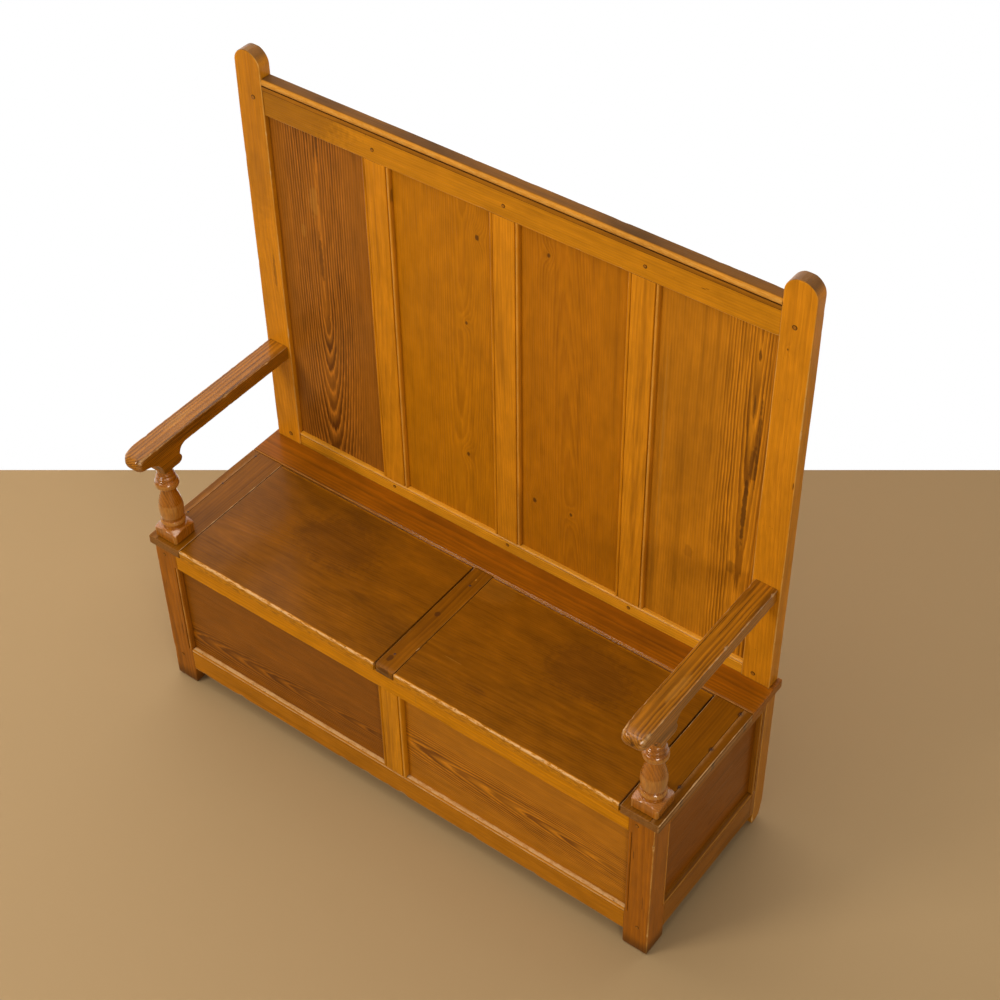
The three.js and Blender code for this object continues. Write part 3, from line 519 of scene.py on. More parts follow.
low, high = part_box("crest_moulding")
CREST_TOP_FALL = 0.001
CREST_NARROW = 0.003
NOSE = 0.0075
FILLET_HIGH = 0.009
FILLET_PROUD = 0.0015
nose_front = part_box("back_post_right")[0].y - 0.001
fillet = rail_top - FILLET_HIGH
crest_top = rail_top + 2 * NOSE
corners = [
    (back_face - FIT, rail_top + FIT, "plain", 0.0), (high.y - CREST_NARROW, rail_top + FIT, "ease", 0.001),
    (high.y - CREST_NARROW, crest_top - CREST_TOP_FALL, "ease", 0.002),
]
for k in range(9):
    turn = math.radians(90 + 180 * k / 8)
    worn = 0.55 * math.sin(math.radians(180 * k / 8)) if k < 6 else 0.1
    corners.append((nose_front + NOSE * (1 + math.cos(turn)), rail_top + NOSE * (1 + math.sin(turn)), "plain", worn))
corners[-1] = (back_face - FILLET_PROUD, rail_top, "plain", 0.0)
corners += [(back_face - FILLET_PROUD, fillet, "plain", 0.0), (back_face - FIT, fillet, "plain", 0.0)]
timber(
    "crest_moulding", "x", low.x, high.x, corners, 4.0, ("y", nose_front, 1), (0.46, 0.165, 0.008),
    (0.24, 0.070, 0.005), contrast=0.3, heart=(1.40, 1.39), depth=(0.06, 0.06), ring=0.003, stain=0.4, pale=0.8,
    rough=0.45, dust=(0.9, 0.80, 0.99), coat=0.0, shine=0.07,
    # Painted shadow: a dark band along the fillet and a darker line at its foot stand for the shadow of the nose.
    marks=((rail_top - FILLET_HIGH / 2, 0.0, 0.0085, 3.0, 0.4), (fillet, 0.0, 0.0014, 3.0, 0.7)),
)

# Bottom rail of the back
# A rail tenoned between the posts just above the seat, with a bead run along its top edge.

low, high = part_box("back_bottom_rail")
timber(
    "back_bottom_rail", "x", -post_inner + FIT, post_inner - FIT,
    square_section((back_face, low.z), (high.y, high.z), 0.001, 0.001, 0.001, ("bead on", 1.0)), 5.0,
    ("y", back_face, 1), (0.60, 0.235, 0.008), GOLD_LATE, contrast=0.28, heart=(0.37, 0.40), ring=0.0035,
    # Lighter painted shade where this rail meets the seat board.
    worn_tone=BARE_PINE, grime=0.35,
)

# Muntins of the back
# Three uprights tenoned between the rails, beaded down both edges beside the panels.

# The left bead of each muntin is dull: painted shade on the edge that faces away from the light.
MUNTIN_CORNERS = (("dull bead on", 1.0), ("bead off", 1.0), 0.001, 0.001)
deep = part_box("top_rail")[1].y
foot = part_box("back_bottom_rail")[1].z + FIT
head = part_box("top_rail")[0].z + 0.001 - FIT
for i, lean in ((1, 0.05), (2, -0.04), (3, 0.06)):
    low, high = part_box("back_muntin_" + str(i))
    timber(
        "back_muntin_" + str(i), "z", foot, head, square_section((low.x, back_face), (high.x, deep), *MUNTIN_CORNERS),
        5.0 + i, ("y", back_face, 1), GOLD, GOLD_LATE, contrast=0.28, heart=(low.x + lean, low.x + 1.3 * lean),
        marks=((high.x, 1.215, 0.0008, 0.018, 0.5),) if i == 1 else (),
    )

# Back panels
# Four thin upright boards held loose in grooves. The outer two are strongly figured pitch pine, the left one
# dark with a tall flame down its middle, and the inner two are plain golden boards with a few knots.


def spread(start, end):
    """Places from one end of a panel to the other, about a pitch apart."""
    count = max(2, round((end - start) / PANEL_PITCH))
    return [start + (end - start) * i / count for i in range(count + 1)]


def loose_panel(node, low, high, seed, grain, **looks):
    """A thin board, a little uneven on its face. Along upright grain the unevenness is long."""
    pace = 1.5 if grain == "z" else 7
    columns = spread(low.x, high.x)
    rings = []
    for z in spread(low.z, high.z):
        ring = [(x, low.y + abs(0.0005 * noise.noise(Vector((x * 7, z * pace, seed)))), z, 0.0) for x in columns]
        rings.append(ring + [(x, high.y, z, 0.0) for x in reversed(columns)])
    finish = pine(node + " pine", grain, ("y", low.y, 1), seed=seed, **looks)
    dress(lofted(node + "_dressed", rings), finish, [node])


PANEL_PITCH = 0.03
PANEL_FINISHES = [
    dict(
        early=(0.270, 0.086, 0.006), late=(0.085, 0.020, 0.002), contrast=1.0, between=(0.471, 0.831),
        heart=(-0.466, -0.455), depth=(0.050, 0.009), ring=0.0062, waver=0.022, zone=(-0.003, 0.085),
        knots=((-0.455, 0.831, 0.003),), crisp=2.1,
        marks=(
            (-0.469, 1.114, 0.014, 0.045, -0.35), (-0.503, 1.033, 0.008, 0.020, -0.3),
            (-0.449, 1.258, 0.004, 0.05, 0.6), (-0.462, 0.978, 0.006, 0.075, 0.65),
        ),
    ),
    dict(
        early=(0.41, 0.138, 0.002), late=(0.26, 0.073, 0.002), contrast=0.45, between=(0.471, 1.281),
        heart=(-0.130, -0.100), depth=(0.045, 0.02), ring=0.0042, zone=(0.0, 0.09),
        knots=((-0.069, 1.201, 0.010), (-0.099, 0.988, 0.007), (-0.104, 0.646, 0.009)),
    ),
    dict(
        early=(0.38, 0.122, 0.002), late=(0.24, 0.063, 0.002), contrast=0.45, between=(0.471, 1.281),
        heart=(0.150, 0.120), depth=(0.02, 0.05), ring=0.0042, zone=(0.0, 0.09),
        knots=((0.092, 1.231, 0.008), (0.062, 0.610, 0.010), (0.150, 0.619, 0.008)),
    ),
    dict(
        early=(0.42, 0.145, 0.005), late=(0.11, 0.027, 0.002), contrast=0.9, between=(0.471, 1.281),
        heart=(0.530, 0.530), depth=(0.030, 0.008), ring=0.0060, waver=0.018, zone=(0.01, 0.080), crisp=1.7,
        marks=(
            (0.530, 0.851, 0.006, 0.11, 0.8), (0.545, 1.021, 0.004, 0.12, 0.7), (0.531, 1.215, 0.004, 0.018, 0.8),
            (0.530, 1.101, 0.003, 0.03, 0.6), (0.539, 0.966, 0.010, 0.05, 0.5), (0.421, 0.679, 0.012, 0.02, 0.25),
            (0.515, 0.692, 0.012, 0.02, 0.4), (0.350, 0.906, 0.004, 0.30, -0.35),
        ),
    ),
]
PANEL_FORWARD = 0.006
for i, looks in enumerate(PANEL_FINISHES):
    node = "back_panel_" + str(i + 1)
    low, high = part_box(node)
    low.y -= PANEL_FORWARD
    loose_panel(node, low, high, 10.0 + i, "z", streaks=0.25, **looks)

# Front legs
# Square legs with beads beside the panels. Their feet are rounded by wear, and the wood is darker towards the floor.

FOOT_WEAR = 0.007
box_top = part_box("front_bottom_rail")[1].z
rail_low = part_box("front_top_rail")[0].z
side_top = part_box("side_bottom_rail_right")[1].z
side_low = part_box("side_top_rail_right")[0].z
# Height over which the legs grow darker towards the floor.
FOOT_DARK_HEIGHT = 0.05


def bead_stops(*heights):
    """Places close to either side of the heights where a bead starts or ends."""
    return [z + d for z in heights for d in (-BEAD_FADE, BEAD_FADE)]


def leg_section(low, high, z, side):
    """A leg's outline at a height, with its beads only beside the panels."""
    front = 1.0 if box_top < z < rail_low else 0.0
    beside = 1.0 if side_top < z < side_low else 0.0
    corners = {
        "left": (0.003, ("bead off", front), 0.001, ("bead on", beside)),
        # The right leg's front bead faces left and is dull: painted shade on the side away from the light.
        "right": (("dull bead on", front), 0.003, ("bead off", beside), 0.001),
    }[side]
    return square_section((low.x, low.y), (high.x, high.y), *corners)


BEAD_FADE = 0.0008
for side, seed in (("left", 14.0), ("right", 15.0)):
    low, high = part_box("front_leg_" + side)
    timber(
        "front_leg_" + side, "z", low.z, high.z, lambda z: leg_section(low, high, z, side), seed, ("y", low.y, 1),
        (0.31, 0.092, 0.002), (0.17, 0.043, 0.002), name="leg_" + side, contrast=0.55, ring=0.0038,
        cut=dict(chips=1.3, end_ease=(FOOT_WEAR, 0.001), stops=bead_stops(box_top, rail_low, side_top, side_low)),
        heart=(low.x - 0.01, low.x + 0.01), stain=0.45, foot=FOOT_DARK_HEIGHT,
        marks=((low.x + 0.014, 0.30, 0.0016, 0.020, 0.6), (low.x + 0.040, 0.17, 0.0016, 0.030, 0.6)),
    )

# Front rails and muntin
# The front frame of the box: a plain top rail, a bottom rail with a beaded top edge, and one muntin between.

leg_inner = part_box("front_leg_right")[0].x
OCHRE = (0.52, 0.188, 0.002)
OCHRE_LATE = (0.32, 0.092, 0.002)
low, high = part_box("front_top_rail")
timber(
    "front_top_rail", "x", -leg_inner + FIT, leg_inner - FIT,
    square_section((low.y, low.z), (high.y, high.z), 0.0018, 0.001, 0.001, 0.0012), 16.0, ("y", low.y, 1),
    OCHRE, OCHRE_LATE, contrast=0.3, heart=(0.34, 0.36), streaks=0.2, shine=0.08, coat=0.0,
    marks=((0.388, 0.07, 0.02, 0.0012, -0.6),),
)
face, deep = low.y, high.y
low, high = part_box("front_bottom_rail")
timber(
    "front_bottom_rail", "x", -leg_inner + FIT, leg_inner - FIT,
    square_section((low.y, low.z), (high.y, high.z), 0.004, 0.002, 0.001, ("bright bead on", 1.0)), 17.0,
    ("y", low.y, 1), (0.40, 0.140, 0.004), OCHRE_LATE, cut=dict(chips=1.5), contrast=0.35, heart=(0.03, 0.05),
    ring=0.004, stain=0.4, pale=0.85, worn_tone=BARE_PINE, shine=0.08, coat=0.0,
)
low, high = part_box("front_muntin")
timber(
    "front_muntin", "z", box_top + FIT, rail_low - FIT,
    square_section((low.x, face), (high.x, deep), *MUNTIN_CORNERS), 18.0, ("y", face, 1),
    OCHRE, OCHRE_LATE, contrast=0.3, heart=(0.03, 0.04),
)

# Front panels
# Two long boards set on edge in grooves, with their grain lying level and long flames running along them.

for side, seed, looks in (
    ("left", 19.0, dict(
        early=(0.225, 0.068, 0.002), late=(0.070, 0.015, 0.001), between=(-0.57, -0.05), heart=(0.157, 0.184),
        depth=(0.045, 0.012), ring=0.0044, zone=(-0.015, 0.050),
    )),
    ("right", 20.0, dict(
        early=(0.375, 0.128, 0.004), late=(0.12, 0.028, 0.002), between=(0.03, 0.57), heart=(0.227, 0.197),
        depth=(0.040, 0.008), ring=0.0054, zone=(0.0, 0.065),
    )),
):
    low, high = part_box("front_panel_" + side)
    loose_panel(
        "front_panel_" + side, low, high, seed, "x", contrast=1.0, waver=0.009, streaks=0.2, crisp=1.8, **looks,
    )

# Sides of the box
# Each side has a beaded bottom rail, a top rail under the seat, a narrow stile against the post and two
# level boards between them.

UMBER = (0.2142, 0.0593, 0.0012)
UMBER_LATE = (0.0882, 0.0205, 0.0012)
DULL_OCHRE = (0.26, 0.085, 0.003)
DULL_LATE = (0.15, 0.042, 0.003)
for side, sign in (("left", -1), ("right", 1)):
    tag = "_" + side
    stile_low, stile_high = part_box("side_rear_stile" + tag)
    leg_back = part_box("front_leg" + tag)[1].y
    low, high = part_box("side_bottom_rail" + tag)
    outer, inner = (high.x, stile_low.x) if sign > 0 else (low.x, stile_high.x)
    face = ("x", outer, -sign)
    for node, corners, seed in (
        ("side_bottom_rail" + tag, (0.002, 0.004, ("bead off", 1.0), 0.001), 21.0 + sign),
        ("side_top_rail" + tag, (0.001, 0.0016, 0.001, 0.001), 23.0 + sign),
    ):
        low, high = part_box(node)
        timber(
            node, "y", leg_back + FIT, stile_low.y - FIT,
            square_section((inner, low.z), (outer, high.z), *corners), seed, face, DULL_OCHRE, DULL_LATE,
            contrast=0.4, heart=(low.z - 0.03, low.z - 0.02), stain=0.4,
        )

    def stile_section(z):
        bead = 1.0 if side_top < z < side_low else 0.0
        corners = (0.001, ("bead on", bead), 0.0012, 0.001)
        if sign < 0:
            corners = (("bead off", bead), 0.001, 0.001, 0.0012)
        return square_section((stile_low.x, stile_low.y), (stile_high.x, stile_high.y), *corners)

    timber(
        "side_rear_stile" + tag, "z", stile_low.z, stile_high.z, stile_section, 25.0 + sign, face, DULL_OCHRE,
        DULL_LATE, cut=dict(stops=bead_stops(side_top, side_low)), contrast=0.35, heart=(0.22, 0.23),
    )
    for part, middle, seed in (("lower", 0.17, 27.0), ("upper", 0.36, 29.0)):
        node = "side_board_" + part + tag
        paint(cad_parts[node], pine(
            node + " pine", "y", face, UMBER, UMBER_LATE, contrast=0.5, heart=(middle, middle + 0.01),
            depth=(0.05, 0.03), between=(-0.16, 0.2), ring=0.0035, seed=seed + sign, stain=0.35,
        ))

# Carcass
# The boards that close the back and floor of the box, with their cleats and bearers. They were never waxed, and
# have gone grey and brown inside.

BARE = (0.30, 0.16, 0.065)
BARE_LATE = (0.17, 0.08, 0.03)
BOARDS = (
    ("box_back_rail", "xy"), ("box_back_board_lower", "xy"), ("box_back_board_upper", "xy"),
    ("box_floor_board_1", "xz"), ("box_floor_board_2", "xz"), ("box_floor_board_3", "xz"),
    ("floor_cleat_front", "xz"), ("floor_cleat_rear", "xz"), ("rear_bearer", "xz"), ("centre_bearer", "yz"),
    ("lid_left_batten_1", "yz"), ("lid_left_batten_2", "yz"),
    ("lid_right_batten_1", "yz"), ("lid_right_batten_2", "yz"),
)
for i, (node, (grain, face)) in enumerate(BOARDS):
    low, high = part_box(node)
    middle = dict(zip("xyz", (low + high) / 2))
    across = middle["xyz".replace(grain, "").replace(face, "")]
    paint(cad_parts[node], pine(
        node + " bare pine", grain, (face, middle[face], 1), BARE, BARE_LATE, contrast=0.5, stain=0.35,
        heart=(across + 0.02, across + 0.03), depth=(0.06, 0.05), ring=0.0042, seed=31.0 + i, rough=0.7, coat=0.0,
    ))

# Seat boards
# Four fixed boards frame the lids: one along the back, notched round the posts, one at each end with a quirk near
# its worn outer edge, and a narrow strip between the lids.

SEAT = (0.185, 0.059, 0.001)
SEAT_LATE = (0.112, 0.032, 0.001)
low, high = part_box("seat_rear_board")
post_low, post_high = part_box("back_post_right")
GAP = 0.0003
END_ARRIS = 0.0022
QUIRK_IN = 0.020
QUIRK_DEEP = 0.0014


def rear_board_section(x):
    """The rear board's outline at a place along it, cut short at the posts and between them."""
    reach = abs(x)
    back = high.y
    if reach < post_low.x + GAP:
        back = back_face - GAP
    elif reach < post_high.x + GAP:
        back = post_low.y - GAP
    return square_section((low.y, low.z), (back, high.z), 0.001, 0.001, 0.001, ("fine bead off", 1.0))


TIGHT = 0.00002
stops = [sign * (x + GAP) + d for x in (post_low.x, post_high.x) for sign in (-1, 1) for d in (-TIGHT, TIGHT)]
timber(
    "seat_rear_board", "x", low.x, high.x, rear_board_section, 45.0, ("z", high.z, -1), (0.26, 0.072, 0.001),
    SEAT_LATE, slot="seat_pine", cut=dict(end_ease=(END_ARRIS, END_ARRIS), stops=stops), contrast=0.6,
    heart=(0.20, 0.22), depth=(0.08, 0.07), ring=0.0042, stain=0.5, rough=0.34,
)

NAIL_ROWS = (-0.095, 0.014, 0.120)
NAIL_X = 0.620
for side, sign in (("left", -1), ("right", 1)):
    node = "seat_end_board_" + side
    low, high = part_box(node)
    outer, inner = (high.x, low.x) if sign > 0 else (low.x, high.x)
    groove = outer - sign * QUIRK_IN
    corners = [
        (inner, high.z, "ease", 0.0012), (groove - sign * QUIRK / 2, high.z, "plain", 0.1),
        (groove, high.z - QUIRK_DEEP, "plain", 0.0), (groove + sign * QUIRK / 2, high.z, "plain", 0.35),
        (outer, high.z, "ease", END_ARRIS), (outer, high.z - 0.009, "plain", 0.4),
        (outer, low.z + 0.007, "plain", 0.4), (outer, low.z, "ease", 0.002), (inner, low.z, "ease", 0.001),
    ]
    marks = ()
    if sign > 0:
        marks = tuple((NAIL_X, y, 0.006, 0.009, 0.8) for y in NAIL_ROWS)
        marks += tuple((outer, y, 0.0018, 0.007, 0.95) for y in (-0.119, -0.010, 0.104))
    timber(
        node, "y", low.y, high.y, corners, 46.0 + sign, ("z", high.z, -1), SEAT, SEAT_LATE, slot="seat_pine",
        cut=dict(chips=0.8, end_ease=(0.0025, 0.001)), contrast=0.6, heart=(sign * 0.64, sign * 0.63),
        depth=(0.08, 0.09), ring=0.004, stain=0.5, rough=0.36, marks=marks, pale=0.85, worn_tone=BARE_PINE,
    )

low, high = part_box("seat_centre_board")
timber(
    "seat_centre_board", "y", low.y, high.y,
    square_section((low.x, low.z), (high.x, high.z), 0.001, 0.001, 0.0016, 0.0016), 48.0, ("z", high.z, -1), SEAT,
    SEAT_LATE, slot="seat_pine", cut=dict(end_ease=(0.006, 0.001)), contrast=0.6, heart=(-0.04, -0.05),
    depth=(0.08, 0.09), ring=0.004, stain=0.5, pale=0.3, marks=(
        (-0.010, -0.016, 0.007, 0.009, 0.8), (-0.013, -0.164, 0.007, 0.012, 0.8), (-0.004, 0.105, 0.002, 0.003, -0.9),
        (-0.005, -0.195, 0.020, 0.004, 0.8),
    ),
)

# Lids
# Two wide boards, each turning on an iron pin at either end of its rounded rear edge. Their top front arrises are
# worn down to bare wood by years of lifting, and their tops carry the wax of many sitters.

FRONT_ROUND = 0.0040
WORN_BACK = 0.007
FACE_WEAR = 0.66
LID_GOLD = (0.54, 0.200, 0.003)
PIVOT_DROP = 0.005
LID_MARKS = {
    "left": ((0.02, -0.30, 0.09, 0.12, 0.3),),
    "right": (
        (0.110, 0.046, 0.05, 0.06, -0.10), (-0.130, 0.174, 0.010, 0.030, 0.25), (-0.095, 0.090, 0.0012, 0.030, -0.4),
        (0.03, 0.33, 0.08, 0.12, 0.3),
    ),
}
for side, seed in (("left", 50.0), ("right", 51.0)):
    node = "lid_" + side
    low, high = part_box(node)
    pivot = (high.y - PIVOT_DROP, high.z - PIVOT_DROP)
    sweep = high.z - low.z - PIVOT_DROP
    corners = [
        (low.y + WORN_BACK, high.z, "plain", 0.0), (low.y, high.z, "bare edge", FRONT_ROUND),
        (low.y, high.z - 0.006, "plain", FACE_WEAR), (low.y, low.z + 0.004, "plain", FACE_WEAR),
        (low.y, low.z, "edge", 0.0018), (low.y + 0.01, low.z, "plain", 0.0),
    ]
    for k in range(3):
        turn = math.radians(-90) + math.asin(PIVOT_DROP / sweep) * k / 2
        corners.append((pivot[0] + sweep * math.cos(turn), pivot[1] + sweep * math.sin(turn), "plain", 0.0))
    for k in range(9):
        turn = math.radians(90 * k / 8)
        y, z = pivot[0] + PIVOT_DROP * math.cos(turn), pivot[1] + PIVOT_DROP * math.sin(turn)
        corners.append((y, z, "plain", 0.4 * math.sin(turn) ** 2))
    corners.append((pivot[0] - 0.004, high.z, "plain", 0.0))
    timber(
        node, "x", low.x, high.x, corners, seed, ("z", high.z, -1), SEAT, SEAT_LATE, slot="seat_pine",
        body=side + "_lid", cut=dict(chips=0.5, end_ease=(0.0016, 0.0016)), contrast=0.4, heart=(-0.10, -0.06),
        depth=(0.06, 0.05), streaks=0.2, between=(low.x, high.x), ring=0.0046, waver=0.02, stain=0.75, rough=0.33,
        pale=0.95, worn_tone=LID_GOLD, mottle=0.2, marks=LID_MARKS[side],
    )

# Hinge pins
# Short iron pins, driven into the boards beside each lid, on which the lid turns.

iron, t = new_material("old iron")
where = t.add("TexCoord").outputs["Object"]
rust = t.step(t.noise(where, 420.0, 4.0, 0.7), 0.42, 0.62)
colour = t.blend(rust, (0.035, 0.028, 0.024, 1), (0.13, 0.045, 0.018, 1))
dull = t.plus(0.45, t.times(rust, 0.35))
bump = t.add("Bump", named={"Strength": 0.6, "Distance": 0.0004, "Height": t.noise(where, 900.0, 3.0)}).outputs[0]
metal = t.less(0.9, t.times(rust, 0.7))
shade = t.add("BsdfPrincipled", named={"Base Color": colour, "Metallic": metal, "Roughness": dull, "Normal": bump})
t.add("OutputMaterial", shade.outputs[0])
for i in (1, 2, 3, 4):
    paint(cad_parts["hinge_pin_" + str(i)], iron)

# Arm supports
# Turned from a square billet: a square foot whose shoulders are turned away, then a ring, a vase and a ball
# under the arm, all smooth and glossy from handling.

SUPPORT_STEPS = 96
STEM = [
    (0.82, 0.155), (0.82, 0.2), (0.875, 0.208), (0.885, 0.222), (0.85, 0.236), (0.845, 0.246), (0.8, 0.256),
    (0.795, 0.262), (0.84, 0.305), (0.872, 0.37), (0.855, 0.435), (0.77, 0.51), (0.65, 0.575), (0.545, 0.63),
    (0.506, 0.67), (0.52, 0.692), (0.6, 0.697), (0.75, 0.705), (0.832, 0.727), (0.848, 0.75), (0.832, 0.773),
    (0.75, 0.796), (0.685, 0.801), (0.685, 0.813), (0.64, 0.817), (0.69, 0.828), (0.69, 0.848), (0.63, 0.858),
    (0.55, 0.867), (0.592, 0.88), (0.592, 0.898), (0.545, 0.91), (0.53, 0.935), (0.565, 0.978), (0.615, 1.0),
]
SHOULDER = [(1.0, 0.0), (1.0, 0.55), (0.965, 0.68), (0.86, 0.8), (0.73, 0.9), (0.62, 1.0)]
FOOT_RADIUS = 0.043
BLOCK_HEIGHT = 0.030
BLOCK_HALF = 0.030
BLOCK_EASE = 0.0022


def smooth_profile(points, parts):
    """More points along a turned outline, on a curve through the given ones."""
    made = []
    for i in range(len(points) - 1):
        p0, p1, p2, p3 = points[max(i - 1, 0)], points[i], points[i + 1], points[min(i + 2, len(points) - 1)]
        for k in range(parts):
            u = k / parts
            made.append(tuple(
                0.5 * (2 * b + (c - a) * u + (2 * a - 5 * b + 4 * c - d) * u**2 + (3 * b - a - 3 * c + d) * u**3)
                for a, b, c, d in zip(p0, p1, p2, p3)
            ))
    return made + [points[-1]]


def square_reach(angle):
    """How far the square block reaches at an angle, with its arrises eased."""
    c, s = abs(math.cos(angle)), abs(math.sin(angle))
    edge = BLOCK_HALF / max(c, s)
    corner = BLOCK_HALF * math.sqrt(2) - BLOCK_EASE
    return min(edge, corner / max(1e-6, (c + s) / math.sqrt(2)))


ANGLES = [2 * math.pi * k / SUPPORT_STEPS for k in range(SUPPORT_STEPS)]
BLOCK = [square_reach(angle) for angle in ANGLES]
for side, seed in (("left", 52.0), ("right", 53.0)):
    node = "arm_support_" + side
    low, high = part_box(node)
    centre = ((low.x + high.x) / 2, (low.y + high.y) / 2)
    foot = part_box("seat_end_board_" + side)[1].z + GAP
    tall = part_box("arm_" + side)[0].z - GAP - foot
    levels = [(foot, [r - 0.0012 for r in BLOCK], 0.3)]
    for share, rise in smooth_profile(SHOULDER, 4):
        z = max(foot + rise * BLOCK_HEIGHT, foot + 0.0012)
        levels.append((z, [min(r, share * FOOT_RADIUS) for r in BLOCK], 0.2))
    for share, rise in smooth_profile(STEM, 3):
        levels.append((foot + rise * tall, [share * BLOCK_HALF] * SUPPORT_STEPS, 0.55 if share > 0.83 else 0.12))
    rings = []
    for z, reach, wear in levels:
        ring = []
        for angle, block, r in zip(ANGLES, BLOCK, reach):
            corner = 0.4 if abs(r - block) < 1e-5 and abs(math.sin(2 * angle)) > 0.985 else 0.0
            x, y = centre[0] + r * math.cos(angle), centre[1] + r * math.sin(angle)
            ring.append((x, y, z, min(1.0, wear + corner)))
        rings.append(ring)
    finish = pine(
        node + " pine", "z", ("y", low.y, 1), (0.33, 0.100, 0.004), (0.15, 0.038, 0.003), contrast=0.6,
        heart=(centre[0] + 0.01, centre[0] + 0.01), depth=(0.05, 0.05), ring=0.0034, waver=0.006, seed=seed, coat=1.0,
        shine=0.4, rough=0.24, pale=0.4,
    )
    dress(lofted(node + "_dressed", rings, smooth_under=32), finish, [node])

# Arms
# Each arm is sawn from a thick plank, with a block left under its front end for the support. The nose is rounded
# and polished by hands, and the top has opened into coarse grain.

ARM_COVE = 0.042
ARM_BULGE = 0.012
ARM_STEP = 0.022


def arc_points(centre, radius, start, end, steps):
    turns = [math.radians(start + (end - start) * k / steps) for k in range(steps + 1)]
    return [(centre[0] + radius * math.cos(a), centre[1] + radius * math.sin(a)) for a in turns]


def split_outline(points, pitch):
    """The same closed outline with no stretch longer than the pitch."""
    made = []
    for i, p in enumerate(points):
        q = points[(i + 1) % len(points)]
        far = math.dist(p, q)
        parts = max(1, round(far / pitch))
        made += [(p[0] + (q[0] - p[0]) * k / parts, p[1] + (q[1] - p[1]) * k / parts) for k in range(parts)]
    return made


def outline_normals(points):
    """Directions into a clockwise or anticlockwise outline, one for each point."""
    area = sum(p[0] * q[1] - q[0] * p[1] for p, q in zip(points, points[1:] + points[:1]))
    turn = 1 if area > 0 else -1
    inward = []
    for i, p in enumerate(points):
        before, after = points[i - 1], points[(i + 1) % len(points)]
        way = Vector((after[0] - before[0], after[1] - before[1])).normalized()
        inward.append(Vector((-way.y, way.x)) * turn)
    return inward


for side, sign, seed in (("left", -1, 54.0), ("right", 1, 55.0)):
    node = "arm_" + side
    low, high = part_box(node)
    post_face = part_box("back_post_" + side)[0].y
    thick = 0.033
    under = high.z - thick
    nose = thick / 2
    block_low = low.z
    front = low.y
    seat_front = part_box("seat_end_board_" + side)[0].y + 0.005
    block_front = seat_front + 0.012
    block_back = seat_front + 0.066
    outline = [(post_face - GAP, under), (post_face - GAP, high.z)]
    outline += arc_points((front + nose, high.z - nose), nose, 90, 270, 14)
    outline += arc_points((block_front - ARM_COVE, under - ARM_COVE), ARM_COVE, 90, 0, 12)
    outline += [(block_front, block_low)]
    outline += arc_points((block_back - ARM_BULGE, block_low + ARM_BULGE), ARM_BULGE, -90, 45, 8)
    outline += arc_points((block_back + ARM_STEP - ARM_BULGE / 3, under - ARM_STEP), ARM_STEP, 180, 90, 8)
    outline = split_outline(outline, 0.008)
    inward = outline_normals(outline)
    outer, inner = (high.x, low.x) if sign > 0 else (low.x, high.x)

    def round_over(y, z, is_outer, i):
        """How far the arm's edge is rounded at a point of its outline."""
        at_nose = max(0.0, min(1.0, (front + 0.040 - y) / 0.040))
        base, worn = worn_ease(0.0028, y, i % 3, seed + (3 if is_outer else 0), 1.4)
        top = z > high.z - 0.004
        if not top and z < under + 0.004:
            base *= 0.7
        corner = (0.020 if sign < 0 and is_outer else 0.012) * at_nose**1.5
        return base + corner, min(1.0, worn * (0.6 if top else 0.3) + 0.1 * at_nose)

    rings = []
    steps = 6
    for is_outer in (False, True):
        stack = []
        for k in range(steps + 1):
            u = k / steps
            turn = math.pi / 2 * u
            ring = []
            for i, (y, z) in enumerate(outline):
                size, wear = round_over(y, z, is_outer, i)
                inset = size * (1 - math.sin(turn))
                deep = size * (1 - math.cos(turn))
                p = Vector((y, z)) + inward[i] * inset
                x = outer - sign * deep if is_outer else inner + sign * deep
                ring.append((x, p.x, p.y, max(0.0, wear * math.sin(math.pi * min(1.0, u + 0.1)))))
            stack.append(ring)
        rings += stack[::-1] if is_outer else stack
    finish = pine(
        "arm pine " + side, "y", ("z", high.z, -1), (0.31, 0.105, 0.003), (0.09, 0.024, 0.002), contrast=0.9,
        heart=(inner, inner), depth=(0.05, 0.045), ring=0.0042, waver=0.008, seed=seed, streaks=0.85, stain=0.45,
        coat=0.5, pale=0.85, worn_tone=BARE_PINE, marks=(
            (inner + sign * 0.006, 0.0, 0.0011, 0.16, 0.9), (inner + sign * 0.020, 0.10, 0.0010, 0.09, 0.8),
            (inner + sign * 0.030, -0.10, 0.010, 0.05, -0.35),
        ),
    )
    dress(lofted(node + "_dressed", rings), finish, [node])

# Pegs
# Small cleft pegs pin the tenons of the rails. They have darkened and stand a hair proud of the wood.

# Strong painted shade from the occlusion mask darkens the rims of the pegs.
peg_wood = pine(
    "peg wood", "y", ("x", 0.0, 1), (0.09, 0.028, 0.003), (0.05, 0.014, 0.002), contrast=0.6,
    depth=(0.12, 0.12), ring=0.0015, seed=60.0, grime=0.9, pale=0.9, worn_tone=(0.36, 0.125, 0.008),
)
PROUD = 0.0006
PEG_SIDES = 12
POST_PEG = 0.0052
RAIL_PEG = 0.0042


def stud(name, levels, radius, sides, uneven, pace, seed, place, material):
    """A head driven into a face. Each level is how deep it lies, what share of the radius it has and how worn it is,
    and place turns two sizes on the face and a depth into a point."""
    rings = []
    for depth, share, wear in levels:
        ring = []
        for k in range(sides):
            c, s = math.cos(2 * math.pi * k / sides), math.sin(2 * math.pi * k / sides)
            r = radius * share * (1 + uneven * noise.noise(Vector((pace * c, pace * s, seed))))
            ring.append((*place(r * c, r * s, depth), wear))
        rings.append(ring)
    dress(lofted(name, rings, smooth_under=50), material)


